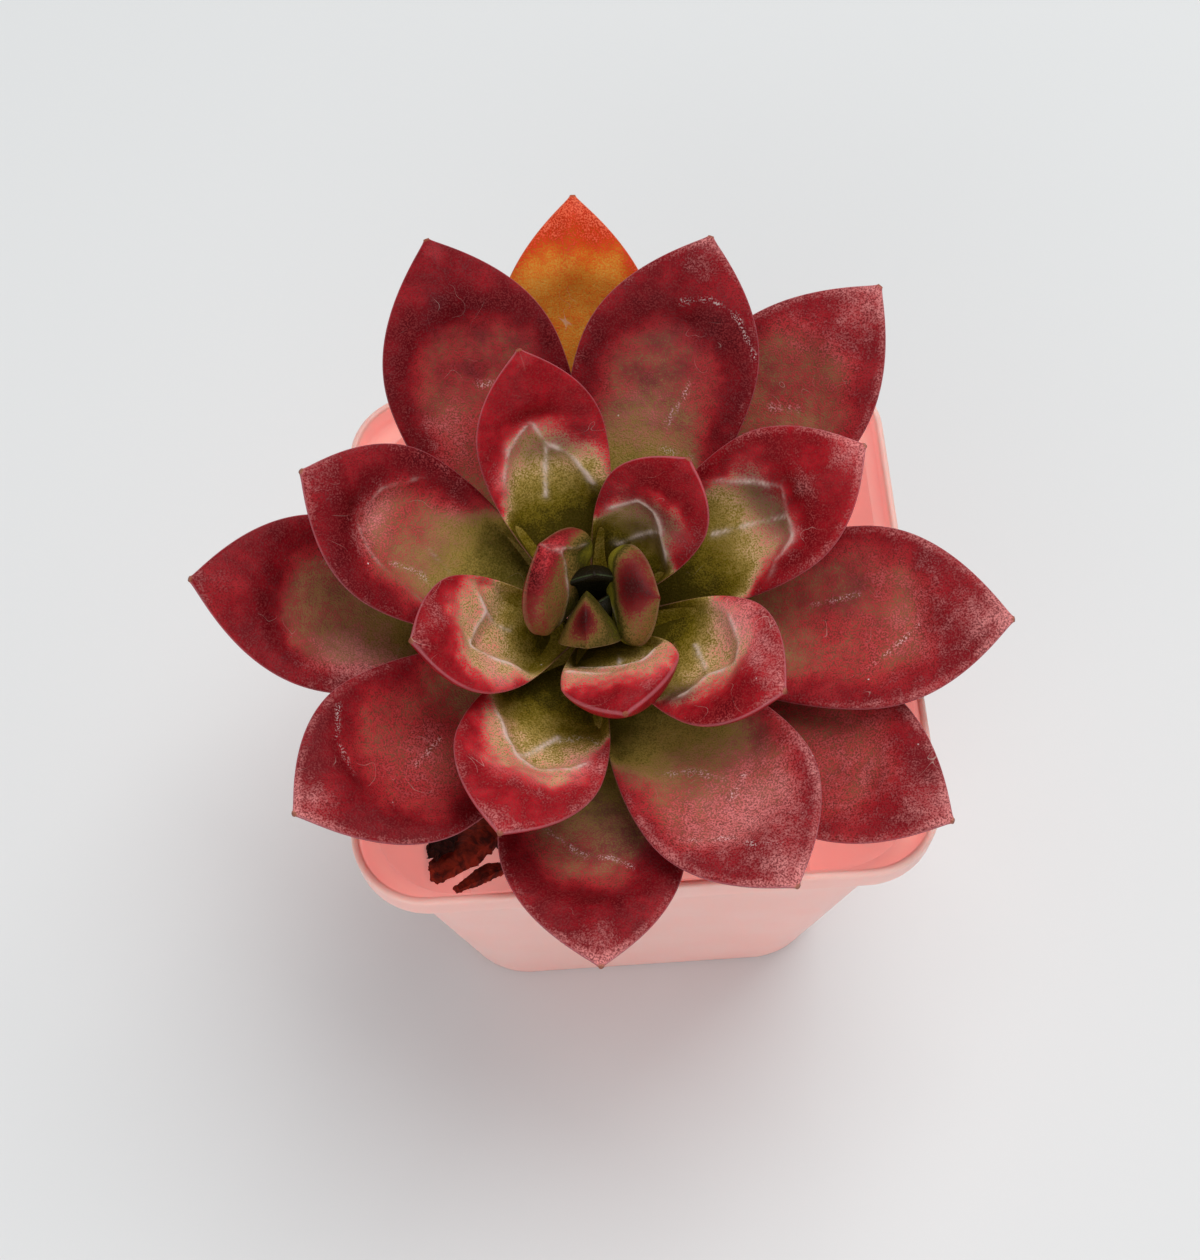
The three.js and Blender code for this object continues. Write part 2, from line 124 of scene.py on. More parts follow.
def add_light():
    scene = bpy.context.scene
    scene.view_settings.view_transform = "Standard"
    scene.view_settings.look = "None"
    scene.world = bpy.data.worlds.new("pale_sky")
    scene.world.use_nodes = True
    sky = scene.world.node_tree.nodes["Background"]
    sky.inputs["Color"].default_value = SKY_COLOR
    sky.inputs["Strength"].default_value = SKY_STRENGTH
    add_window("window_light", (0.24, 0.3, 1.0), size=(0.7, 0.7), power=7.3)
    add_window("front_light", (-0.3, -0.8, 0.5), size=(0.9, 0.6), power=2.8)


add_light()

# %% [markdown]
# Three small helpers are used by every piece. The first turns a finished bmesh into an object, the second
# hands it to the model's body with its finish, and the third starts an empty node material.

# %% Helpers for pieces and materials
def to_object(name, bm, smooth=True):
    mesh = bpy.data.meshes.new(name)
    bm.to_mesh(mesh)
    bm.free()
    if smooth:
        mesh.shade_smooth()
    else:
        mesh.shade_flat()
    piece = bpy.data.objects.new(name, mesh)
    bpy.context.scene.collection.objects.link(piece)
    return piece


def hand_in(piece, material, slot, *nodes):
    piece.data.materials.clear()
    piece.data.materials.append(material)
    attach(piece, "root")
    if nodes:
        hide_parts(*nodes)
    triangles = sum(len(face.vertices) - 2 for face in piece.data.polygons)
    print(piece.name, "triangles:", triangles)


class Recipe:
    """A material under construction: add() makes a node, feed() gives its inputs what they need."""

    def __init__(self, name):
        self.material = bpy.data.materials.new(name)
        self.material.use_nodes = True
        self.tree = self.material.node_tree
        self.shader = self.tree.nodes["Principled BSDF"]
        self.place = self.add("ShaderNodeTexCoord").outputs["Object"]

    def add(self, kind, **values):
        node = self.tree.nodes.new(kind)
        for name, value in values.items():
            setattr(node, name, value)
        return node

    def feed(self, node, values):
        """Join each named input to an output of another node, or set it to a plain value."""
        for name, value in values.items():
            if isinstance(value, bpy.types.NodeSocket):
                self.tree.links.new(value, node.inputs[name])
            else:
                node.inputs[name].default_value = value

    def noise(self, size_mm, detail=2.0, roughness=0.5, distortion=0.0, place=None):
        node = self.add("ShaderNodeTexNoise")
        self.feed(node, {"Vector": place or self.place, "Scale": 1.0 / (size_mm * MM), "Detail": detail,
                         "Roughness": roughness, "Distortion": distortion})
        return node.outputs["Fac"]

    def cells(self, size_mm):
        node = self.add("ShaderNodeTexVoronoi")
        self.feed(node, {"Vector": self.place, "Scale": 1.0 / (size_mm * MM), "Randomness": 1.0})
        return node

    def mask(self, name):
        return self.add("ShaderNodeAttribute", attribute_name=name).outputs["Fac"]

    def math(self, operation, *values):
        node = self.add("ShaderNodeMath", operation=operation)
        self.feed(node, dict(enumerate(values)))
        return node.outputs[0]

    def span(self, value, low, high, to_low=0.0, to_high=1.0):
        node = self.add("ShaderNodeMapRange", interpolation_type="SMOOTHSTEP")
        self.feed(node, {"Value": value, "From Min": low, "From Max": high, "To Min": to_low,
                         "To Max": to_high})
        return node.outputs["Result"]

    def paint(self, under, over, amount, blend="MIX"):
        """The colour over the colour under it. A mix node's colours are its inputs 6 and 7."""
        node = self.add("ShaderNodeMix", data_type="RGBA", blend_type=blend, clamp_factor=True)
        self.feed(node, {0: amount, 6: under, 7: over})
        return node.outputs[2]

    def ramp(self, value, colors):
        node = self.add("ShaderNodeValToRGB")
        stops = node.color_ramp.elements
        stops.remove(stops[1])
        for place, color in colors.items():
            stop = stops[0] if place == min(colors) else stops.new(place)
            stop.position = place
            stop.color = color
        self.feed(node, {"Fac": value})
        return node.outputs["Color"]

    def points(self, size_mm, rareness, radius):
        """Small round points: one in some of the cells of the given size, radius as a share of it."""
        cell = self.cells(size_mm)
        chance = self.add("ShaderNodeSeparateColor")
        self.feed(chance, {"Color": cell.outputs["Color"]})
        chosen = self.span(chance.outputs[0], rareness, rareness + 0.01)
        near = self.span(cell.outputs["Distance"], 0.5 * radius, radius, 1.0, 0.0)
        return self.math("MULTIPLY", near, chosen)

    def bump(self, height, distance_mm, strength, under=None):
        node = self.add("ShaderNodeBump")
        self.feed(node, {"Height": height, "Distance": distance_mm * MM, "Strength": strength})
        if under is not None:
            self.feed(node, {"Normal": under})
        return node.outputs["Normal"]


def srgb(red, green, blue):
    """A colour as seen on a screen, 0 to 255, as the shader's linear values."""
    return tuple((c / 255.0 / 12.92) if c <= 10 else ((c / 255.0 + 0.055) / 1.055) ** 2.4
                 for c in (red, green, blue)) + (1.0,)


# %% [markdown]
# The pot is thin vacuum-formed plastic: a square tub with round corners, a slightly wider band round its
# rim, and walls about a millimetre thick. A rounded square is a circle whose four quarters are pushed
# apart, so one circle is extruded ring by ring up the outside, over the rim and down the inside, and each
# new ring is pushed to its own width and corner radius. The drains are cut with a Boolean.

# %% Pot sizes, millimetres
POT_LOW, POT_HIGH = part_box("pot")
POT_TOP_WIDTH = (POT_HIGH.x - POT_LOW.x) / MM
POT_HEIGHT = POT_HIGH.z / MM
POT_BASE_WIDTH = 55
RIM_BAND_HEIGHT = 4
RIM_OVERHANG = 1.3
RIM_ROUNDING = 0.35
POT_WALL = 1
POT_FLOOR = 1.2
FOOT_ROUNDING = 1
FLOOR_ROUNDING = 1
BAND_EDGE = 0.15
RIM_CORNER_RADIUS = 9.2
BODY_CORNER_RADIUS = 11
BAND_FOOT = POT_HEIGHT - RIM_BAND_HEIGHT
BAND_MIDDLE = BAND_FOOT + RIM_BAND_HEIGHT / 2
DRAIN_RADIUS = 3
DRAIN_OFFSET = 14
POT_SIDES = 128
WALL_STEPS = 24
print("pot width and height, mm:", round(POT_TOP_WIDTH, 2), round(POT_HEIGHT, 2))


# %% Pot shape
def body_ring(z, inset=0.0):
    body_top = POT_TOP_WIDTH - 2 * RIM_OVERHANG
    width = POT_BASE_WIDTH + (body_top - POT_BASE_WIDTH) * z / BAND_FOOT
    return width - 2 * inset, BODY_CORNER_RADIUS - inset, z


def band_ring(z, inset=0.0):
    return POT_TOP_WIDTH - 2 * inset, RIM_CORNER_RADIUS - inset, z


def round_over(make_ring, z, radius):
    """Four rings that round an edge off, from the outside up to the top."""
    angles = [math.radians(angle) for angle in (0, 30, 60, 90)]
    return [make_ring(z - radius + radius * math.sin(a), radius * (1 - math.cos(a))) for a in angles]


def pot_rings():
    """Rings up the outside from the foot, over the rim, down the inside and onto the floor."""
    outer_rise = BAND_FOOT - FOOT_ROUNDING
    inner_rise = BAND_FOOT - FLOOR_ROUNDING - POT_FLOOR
    rings = [body_ring(0.0, FOOT_ROUNDING), body_ring(0.3 * FOOT_ROUNDING, 0.3 * FOOT_ROUNDING)]
    rings += [body_ring(FOOT_ROUNDING + outer_rise * step / WALL_STEPS) for step in range(WALL_STEPS + 1)]
    rings += [band_ring(BAND_FOOT, BAND_EDGE), band_ring(BAND_FOOT + BAND_EDGE), band_ring(BAND_MIDDLE)]
    rings += round_over(band_ring, POT_HEIGHT, RIM_ROUNDING)
    rings += [band_ring(POT_HEIGHT, POT_WALL - RIM_ROUNDING)]
    rings += [band_ring(POT_HEIGHT - BAND_EDGE, POT_WALL - 0.1)]
    rings += [band_ring(POT_HEIGHT - RIM_ROUNDING, POT_WALL), band_ring(BAND_MIDDLE, POT_WALL)]
    rings += [band_ring(BAND_FOOT + POT_WALL + 2 * BAND_EDGE, POT_WALL)]
    rings += [band_ring(BAND_FOOT + POT_WALL, POT_WALL + 0.2), body_ring(BAND_FOOT, POT_WALL)]
    rings += [body_ring(POT_FLOOR + FLOOR_ROUNDING + inner_rise * step / WALL_STEPS, POT_WALL)
              for step in reversed(range(WALL_STEPS))]
    return rings + [body_ring(POT_FLOOR, POT_WALL + FLOOR_ROUNDING)]


def push_to_ring(verts, angles, ring):
    width, corner, z = ring
    for vert, angle in zip(verts, angles):
        side = Vector((math.copysign(1, math.cos(angle)), math.copysign(1, math.sin(angle)), 0))
        spot = side * (width / 2 - corner) + Vector((math.cos(angle), math.sin(angle), 0)) * corner
        vert.co = (spot + Vector((0, 0, z))) * MM


def make_pot():
    bm = bmesh.new()
    made = bmesh.ops.create_circle(bm, segments=POT_SIDES, radius=1.0, cap_ends=False)
    half_step = Matrix.Rotation(math.pi / POT_SIDES, 3, "Z")
    bmesh.ops.rotate(bm, verts=made["verts"], cent=(0, 0, 0), matrix=half_step)
    verts = sorted(made["verts"], key=lambda vert: math.atan2(vert.co.y, vert.co.x))
    angles = [math.atan2(vert.co.y, vert.co.x) for vert in verts]
    rings = pot_rings()
    push_to_ring(verts, angles, rings[0])
    edges = list(bm.edges)
    bottom = bmesh.ops.contextual_create(bm, geom=edges)["faces"]
    for ring in rings[1:]:
        out = bmesh.ops.extrude_edge_only(bm, edges=edges)["geom"]
        new_verts = [item for item in out if isinstance(item, bmesh.types.BMVert)]
        edges = [item for item in out if isinstance(item, bmesh.types.BMEdge)]
        verts = sorted(new_verts, key=lambda vert: math.atan2(vert.co.y, vert.co.x))
        push_to_ring(verts, angles, ring)
    inner = bmesh.ops.contextual_create(bm, geom=edges)["faces"]
    bmesh.ops.recalc_face_normals(bm, faces=bm.faces)
    print("pot rings:", len(rings), "floor faces:", len(bottom) + len(inner))
    return to_object("pot_shell", bm)


def make_drains():
    bm = bmesh.new()
    for side_x in (-1, 1):
        for side_y in (-1, 1):
            place = Matrix.Translation(Vector((side_x * DRAIN_OFFSET, side_y * DRAIN_OFFSET, 0)) * MM)
            bmesh.ops.create_cone(bm, cap_ends=True, segments=40, radius1=DRAIN_RADIUS * MM,
                                  radius2=DRAIN_RADIUS * MM, depth=4 * POT_FLOOR * MM, matrix=place)
    return to_object("drain_cutters", bm)


def apply_modifiers(piece):
    graph = bpy.context.evaluated_depsgraph_get()
    finished = bpy.data.meshes.new_from_object(piece.evaluated_get(graph))
    old = piece.data
    piece.modifiers.clear()
    piece.data = finished
    bpy.data.meshes.remove(old)


def cut_drains(pot):
    drains = make_drains()
    cut = pot.modifiers.new("drains", "BOOLEAN")
    cut.operation = "DIFFERENCE"
    cut.solver = "EXACT"
    cut.object = drains
    apply_modifiers(pot)
    bpy.data.objects.remove(drains)
    pot.data.shade_smooth()
    pot.data.set_sharp_from_angle(angle=math.radians(40))


def mark_inside(pot):
    """A mask that is 1 on the pot's inner faces, where a lighter coral and a painted glow stand for the walls
    shining on each other.
    """
    mask = pot.data.attributes.new("inside", "FLOAT", "POINT")
    for vert, value in zip(pot.data.vertices, mask.data):
        x, y, z = vert.co / MM
        width, corner = (body_ring(z) if z < BAND_FOOT + 0.5 * BAND_EDGE else band_ring(z))[:2]
        past_x = abs(x) - (width / 2 - corner)
        past_y = abs(y) - (width / 2 - corner)
        deep = corner - math.hypot(max(past_x, 0), max(past_y, 0)) - min(max(past_x, past_y), 0)
        within = 0.5 * POT_FLOOR < z < POT_HEIGHT - 0.2 and deep > 0.5 * POT_WALL
        value.value = 1.0 if within else 0.0


pot = make_pot()
cut_drains(pot)
mark_inside(pot)

# %% [markdown]
# The plastic is pale pink outside. Inside, a lighter coral and a painted glow stand for the light that passes
# through the wall and bounces between the four sides. Its skin is semi-matt with faint vertical drawing
# marks, a fine orange-peel and a few dark specks of soil.

# %% Pot plastic
POT_PINK = srgb(252, 184, 174)
POT_PINK_DUST = srgb(250, 200, 192)
# Painted light: the inner faces are a lighter coral and glow faintly, for light through and between the walls
PAINTED_GLOW_CORAL = srgb(255, 176, 164)
WALL_GLOW = (1.0, 0.5, 0.46, 1.0)
GLOW_STRENGTH = 0.3
SOIL_SPECK = srgb(70, 40, 35)


def make_pot_plastic():
    mix = Recipe("pink_pot_plastic")
    cloud = mix.span(mix.noise(14, 3.0), 0.4, 0.7, 0.0, 0.35)
    color = mix.paint(POT_PINK, POT_PINK_DUST, cloud)
    # Painted light: the lighter coral on the inner faces, and further down their faint glow
    color = mix.paint(color, PAINTED_GLOW_CORAL, mix.mask("inside"))
    color = mix.paint(color, SOIL_SPECK, mix.points(3.2, 0.95, 0.09))
    glow = mix.paint((0.0, 0.0, 0.0, 1.0), WALL_GLOW, mix.mask("inside"))
    stretch = mix.add("ShaderNodeMapping")
    mix.feed(stretch, {"Vector": mix.place, "Scale": (1.0, 1.0, 0.06)})
    marks = mix.bump(mix.noise(2.5, place=stretch.outputs["Vector"]), 0.12, 0.5)
    mix.feed(mix.shader, {
        "Base Color": color,
        "Emission Color": glow,
        "Emission Strength": GLOW_STRENGTH,
        "Roughness": 0.42,
        "Subsurface Weight": 1.0,
        "Subsurface Radius": (1.0, 0.45, 0.4),
        "Subsurface Scale": 2.5 * MM,
        "Normal": mix.bump(mix.noise(0.5), 0.02, 0.4, marks),
    })
    return mix.material


hand_in(pot, make_pot_plastic(), "pot_plastic", "pot")

# %% [markdown]
# The leaves grow on one spiral, each turned a golden angle from the one before. The whole rosette leans
# towards the front, so every leaf is made in the rosette's own frame and then placed by one matrix. The
# values are the same ones that the solids were made from, so each fine leaf lies where its solid lies.

# %% Rosette, with its lengths in millimetres
HEART = Vector((-4.2, -5.1, 84))
LEAN_TO_FRONT = math.radians(12)
LEAN_TO_RIGHT = math.radians(3)
GOLDEN_ANGLE = 137.5
SPIRAL_START = 224
FIRST_ROOT_DEPTH = 9.2
ROOT_PITCH = 0.72
CORE_ROOT_RADIUS = 1
CLEARANCE = 0.3
STEM_TOP_RADIUS = 1.8
STEM_LEAF_RADIUS = 3.4
STEM_TOP_DEPTH = 8.4
WIDEST_AT = 0.63
WIDENING = 1.15
TIP_BLUNTNESS = 2.2
ROOT_WIDTH = 5
WIDEST_ROOT_SHARE = 0.75
ROOT_THICKNESS = 1.6
TIP_THICKNESS = 0.7
TIP_WIDTH = 0.7
SHARP_TIPS = {6: 1.7}
KEEL = 0.65
FLATTENS_FROM = 0.65
CUP_AT_TIP = 0.2
TOP_SHARE = 0.3
YOUNG_TOP_SHARES = [0.3, 0.3, 0.76, 0.6, 0.64, 0.42]
YOUNG_TWISTS = [0, 0, 14, 14, 14, 6]

# Leaves are numbered from 1, from the heart outwards. These are the last leaves of the core, of the heart
# and of the young ones. The grown leaves follow, and the last of all is orange.
CORE_LEAVES = 2
HEART_LEAVES = 5
YOUNG_LEAVES = 12
ORANGE_LEAF = 23

# The margins of the three heart leaves are folded back by a share of the leaf's thickness. Against the
# solids, their tips stand out a little further and their middles lean in, towards the axis. The first of
# them has a ridge along its upper face.
FOLDED_BACK = {3: 0.18, 4: 0.3, 5: 0.26}
FOLDED_TIPS = {3: (1.2, -0.5), 4: (0.8, 0.0), 5: (1.2, -0.5)}
LEANING_IN = {3: 3.2, 4: 3.6, 5: 3.8}
PEAKED_LEAF = 3
PEAK = 1.3

# One row per leaf, as in the solids: turn and bow in degrees, cup as a share, the others in millimetres
Shape = namedtuple("Shape", "turn reach rise width thickness bow cup sweep")
LEAF_SHAPES = [Shape(*row) for row in (
    (0, 0.4, -5, 4.2, 2.2, 10, 0.1, 0),
    (4, 2.6, -3, 7, 2.6, 8, 0.2, 0),
    (33, 5.2, -1.4, 7.4, 6.6, 8, 0, -0.1),
    (-11, 6.3, -0.6, 12, 5.6, 8, 0.4, 1),
    (-2, 7.3, 0, 13.6, 6, 10, 0.4, 1.2),
    (2, 14.8, 0.8, 14, 5.4, -4, 0.34, 1),
    (-2.5, 18, 3, 13.5, 4.6, 6, 0.28, 0.3),
    (3, 21.8, 3, 14.5, 4.8, 2, 0.26, 0.3),
    (-3, 24, 3, 16.5, 5, 2, 0.26, 0.5),
    (-1.5, 28.8, 4, 15.5, 4.6, 6, 0.28, 0.2),
    (1.5, 30, 3, 17.5, 5, 4, 0.26, -0.4),
    (3.5, 35, 3, 18, 5, 6, 0.26, 0.3),
    (-3.5, 36, 2.5, 19.5, 5.2, 6, 0.26, 0.7),
    (3, 40, 1.2, 21.5, 5.4, 5, 0.25, 0.5),
    (-5, 45.5, 1, 22, 5.4, 7, 0.25, 0.5),
    (2.5, 42, -0.3, 22, 5.4, 6, 0.24, 1.2),
    (4.2, 48.2, -1, 22.5, 5.4, 6, 0.24, 0.9),
    (-15, 48, -1.5, 22.5, 5.4, 7, 0.24, 0.8),
    (3, 42, -1.2, 21.5, 5.4, 5, 0.24, -0.6),
    (3.5, 52.4, -3, 21.5, 5.2, 7, 0.22, 0.4),
    (-4.5, 46.5, -3, 21.5, 5.2, 6, 0.22, 0.5),
    (7.5, 48, -3.5, 21, 5.2, 6, 0.22, 0.8),
    (-4.5, 51, -4, 20.5, 5, 7, 0.22, 0),
)]
LOWEST_ROOT_DEPTH = FIRST_ROOT_DEPTH + ROOT_PITCH * (len(LEAF_SHAPES) - 1 - CORE_LEAVES)


def rosette_frame():
    axis = Vector((math.tan(LEAN_TO_RIGHT), -math.tan(LEAN_TO_FRONT), 1)).normalized()
    right = Vector((1, 0, 0))
    right = (right - right.dot(axis) * axis).normalized()
    return np.array([right, axis.cross(right), axis]).T


ROSETTE = rosette_frame()
print("leaves:", len(LEAF_SHAPES), "lowest root, mm under the heart:", round(LOWEST_ROOT_DEPTH, 1))


def stem_radius(depth):
    share = (depth - STEM_TOP_DEPTH) / (LOWEST_ROOT_DEPTH - STEM_TOP_DEPTH)
    return STEM_TOP_RADIUS + (STEM_LEAF_RADIUS - STEM_TOP_RADIUS) * math.sqrt(min(1.0, max(0.0, share)))


# %% [markdown]
# While they were still in the bud, the leaves lay pressed on each other. Each one kept the print of the two
# younger leaves that lay on it: a larger and a smaller pressed hollow on its upper face, with a pale ridge
# round them and a pale line down from the notch where they meet. Past the ridge the leaf swells again to a
# thick border and a pointed tip. The prints are sharp in the young leaves and fade in the old ones. Each
# leaf's print is given by four corners of its ridge, and the ripeness of the skin, from green at the root
# to crimson at the tip, is given beside it.

# %% Prints and colours of the leaves
# A place on a leaf is (across, along): across from -1 to 1, along from 0 at the root to 1 at the tip. Each
# row tells how crisp a leaf's print is, up to where the leaf is green, how ripe its middle is, where the
# red begins on the middle line, how many millimetres wide the red is at the sides, how much waxy film the
# leaf has inside, how much film and painted sheen it has at its tip and margins, and how deep the red ring
# between them is.
Look = namedtuple("Look", "crisp green inner red_at side film rim ring")
LEAF_LOOKS = [Look(*row) for row in (
    (0, 0.9, 0.1, 1.3, -3, 0, 0, 0),
    (0, 0.9, 0.1, 1.3, -3, 0, 0, 0),
    (0, 0.2, 0.22, 1.3, -3, 0, 0, 0),
    (0.35, 0.7, 0.42, 1.3, -3, 0, 0, 0),
    (0.45, 0.4, 0.42, 1, -0.5, 0.2, 0, 0),
    (1, 0.36, 0.54, 0.78, -1, 0.5, 0, 0),
    (1, 0.46, 0.6, 0.7, 1.5, 0.3, 0.1, 0.3),
    (0.9, 0.32, 0.52, 0.76, 0.7, 0.4, 0.15, 0),
    (0.9, 0.42, 0.54, 0.77, 0.8, 0.4, 0.3, 0.1),
    (0.9, 0.5, 0.58, 0.72, 1.8, 0.4, 0, 0.3),
    (0.9, 0.46, 0.54, 0.75, 1.5, 0.5, 0.3, 0),
    (0.8, 0.5, 0.6, 0.71, 2.2, 0.3, 0.5, 0.5),
    (0.4, 0.5, 0.61, 0.78, 2.7, 0.5, 0.3, 0.7),
    (0.1, 0.5, 0.62, 0.8, 2.2, 0.8, 0.5, 0),
    (0.1, 0.48, 0.64, 0.78, 3, 0.3, 0.35, 0.9),
    (0.1, 0.34, 0.7, 0.8, 2.5, 0.3, 0.5, 0.4),
    (0.1, 0.38, 0.64, 0.8, 2.2, 0.5, 0.5, 0.2),
    (0.1, 0.34, 0.68, 0.8, 2.5, 0.15, 0, 0.8),
    (0.1, 0.54, 0.6, 0.76, 2.7, 0.25, 0.5, 0.6),
    (0.1, 0.36, 0.58, 0.84, 1.8, 0.4, 0.45, 0.2),
    (0.1, 0.52, 0.5, 0.78, 3, 0.2, 0.2, 0.7),
    (0.1, 0.36, 0.68, 0.82, 2.2, 0.5, 0.45, 0.1),
    (0, 0.3, 0.42, 0.96, 0.3, 0.2, 0.1, 0),
)]

# %% Prints: the ridges round them, from one side to the other, as places on the leaf
GROWN_PRINT = [(-0.9, 0.5), (-0.4, 0.64), (0.1, 0.76), (0.9, 0.5)]
LEAF_PRINTS = {
    4: [(-1, 0.62), (-0.4, 0.49), (0.1, 0.38), (0.77, 0.27), (1, 0.25)],
    5: [(-1, 0.54), (-0.87, 0.61), (-0.32, 0.9), (-0.02, 0.69), (0.1, 0.55), (0.6, 0.4), (1, 0.3)],
    6: [(-0.97, 0.3), (-0.7, 0.38), (-0.07, 0.47), (0.37, 0.55), (0.97, 0.43)],
    7: [(-0.97, 0.33), (-0.35, 0.49), (0.02, 0.6), (0.35, 0.61), (0.8, 0.46), (1, 0.35)],
    8: [(-1, 0.6), (-0.85, 0.57), (-0.42, 0.49), (0.12, 0.66), (0.52, 0.48), (1, 0.33)],
    9: [(-1, 0.5), (-0.57, 0.55), (-0.17, 0.57), (0.1, 0.69), (0.37, 0.66), (0.75, 0.54), (1, 0.4)],
    10: [(-1, 0.36), (-0.65, 0.43), (-0.42, 0.55), (-0.1, 0.61), (0.07, 0.72), (0.5, 0.64), (1, 0.4)],
    11: [(-1, 0.42), (-0.52, 0.51), (-0.17, 0.61), (0.15, 0.65), (0.6, 0.6), (1, 0.5)],
    12: [(-1, 0.47), (-0.65, 0.57), (-0.5, 0.65), (-0.22, 0.66), (0.15, 0.7), (0.65, 0.54), (1, 0.42)],
    13: [(-1, 0.42), (-0.8, 0.61), (-0.42, 0.73), (0.12, 0.78), (0.45, 0.66), (0.62, 0.48), (1, 0.4)],
}

# %% Spots of single leaves
# Each spot says what it is, its middle, its size both ways and its strength. It lies on the upper face
# unless its name begins with back.
# A film spot is waxy film and painted sheen together
LEAF_SPOTS = {
    3: [("ripe", (-0.1, 0.88), (0.62, 0.12), 0.8), ("dusk", (-0.1, 0.88), (0.5, 0.09), 0.2),
        ("dusk", (0, 0.8), (2, 0.5), 0.3)],
    4: [("ripe", (0.25, 0.84), (0.7, 0.22), 0.6), ("dusk", (0.3, 0.84), (0.6, 0.2), 0.4),
        ("ripe", (0.95, 0.5), (0.4, 0.25), -0.3), ("back_ripe", (0.9, 0.9), (0.8, 0.3), 0.4)],
    5: [("ripe", (-0.1, 0.97), (1.6, 0.12), 0.5), ("ripe", (0.9, 0.95), (0.3, 0.09), 0.4),
        ("ripe", (-0.8, 0.5), (0.5, 0.3), -0.35), ("dusk", (0.6, 0.9), (0.4, 0.06), 0.2),
        ("film", (-0.1, 0.97), (1.6, 0.14), 0.7), ("back_film", (0, 0.9), (3, 0.4), 0.45)],
    6: [("film", (0.6, 0.8), (0.4, 0.12), 0.3), ("ripe", (-0.6, 0.72), (0.5, 0.08), 0.2),
        ("film", (0, 0.5), (1.4, 0.1), 0.3)],
    7: [("dusk", (0, 0.6), (1.2, 0.1), 0.7), ("film", (-0.7, 0.6), (0.3, 0.12), 0.3),
        ("dusk", (0, 0.42), (1.0, 0.1), 0.6)],
    8: [("film", (-0.5, 0.84), (0.4, 0.1), 0.4), ("film", (0.3, 0.58), (0.8, 0.1), 0.5)],
    9: [("film", (0.45, 0.8), (0.5, 0.16), 0.55), ("film", (0.65, 0.56), (0.4, 0.16), 0.6),
        ("dusk", (-0.65, 0.52), (0.3, 0.1), 0.9), ("ripe", (-0.55, 0.72), (0.35, 0.1), 0.22),
        ("film", (0, 0.28), (0.2, 0.05), 0.7)],
    10: [("dusk", (-0.2, 0.6), (0.8, 0.08), 0.6), ("film", (0.1, 0.7), (0.3, 0.07), 0.3),
         ("ripe", (-0.85, 0.5), (0.25, 0.16), -0.3), ("film", (0.7, 0.56), (0.3, 0.1), 0.4)],
    11: [("film", (0, 0.76), (1.2, 0.08), 0.3), ("film", (-0.5, 0.5), (0.3, 0.1), 0.4),
         ("ripe", (0.75, 0.54), (0.3, 0.12), 0.1), ("film", (0.7, 0.54), (0.35, 0.14), 0.5)],
    12: [("dusk", (0.1, 0.62), (0.8, 0.08), 0.8), ("film", (-0.5, 0.62), (0.3, 0.1), 0.3),
         ("dusk", (0, 0.42), (0.6, 0.1), 0.3), ("film", (0, 0.77), (0.4, 0.05), 0.4)],
    13: [("film", (0, 0.72), (0.5, 0.07), 0.5), ("film", (-0.6, 0.5), (0.25, 0.08), 0.3)],
    14: [("film", (0.1, 0.74), (1.0, 0.18), 0.55), ("ripe", (0, 0.74), (0.6, 0.08), 0.1),
         ("dusk", (0.7, 0.54), (0.4, 0.12), 0.4)],
    15: [("dusk", (0.1, 0.64), (0.8, 0.18), 0.36), ("film", (0.1, 0.5), (0.5, 0.1), 0.3)],
    16: [("film", (0.1, 0.55), (0.5, 0.15), 0.3)],
    17: [("dusk", (0.3, 0.6), (0.35, 0.12), 0.4), ("film", (0, 0.8), (1.2, 0.14), 0.3)],
    18: [("dusk", (0, 0.7), (0.8, 0.2), 0.36), ("film", (0.5, 0.52), (0.4, 0.12), 0.4)],
    # Leaf 19's dusky spot is a painted shadow of the leaf that overlaps it
    19: [("dusk", (0.3, 0.56), (0.6, 0.16), 0.6)],
    20: [("dusk", (0.1, 0.7), (0.6, 0.06), 0.3), ("film", (0, 0.84), (1.2, 0.1), 0.25)],
    21: [("dusk", (0, 0.72), (0.7, 0.16), 0.32), ("film", (0.6, 0.54), (0.4, 0.14), 0.7)],
    22: [("film", (0, 0.78), (1.2, 0.2), 0.25)],
    23: [("ripe", (0, 0.9), (0.8, 0.05), 0.3)],
}

# %% Further pale ridges: the seams between the hollows of a print, and folds near the tip
LEAF_RIDGES = {
    3: [[(-0.1, 0.97), (-0.8, 0.9)], [(0.1, 0.97), (0.9, 0.9)]],
    5: [[(-0.32, 0.9), (-0.1, 0.94), (0, 1)]],
    6: [[(0, 0.46), (0.17, 0.27)], [(-0.92, 0.475), (-0.17, 0.58)]],
    7: [[(-0.27, 0.51), (0.1, 0.38), (0.42, 0.27)]],
    8: [[(-0.42, 0.49), (-0.1, 0.33)]],
    9: [[(-0.17, 0.57), (0.25, 0.4)]],
    10: [[(-0.1, 0.61), (0.12, 0.41)]],
    11: [[(-0.17, 0.61), (0.27, 0.43)]],
    12: [[(-0.22, 0.66), (-0.07, 0.57), (0.17, 0.41)]],
    13: [[(-0.05, 0.51), (0.12, 0.41)]],
}

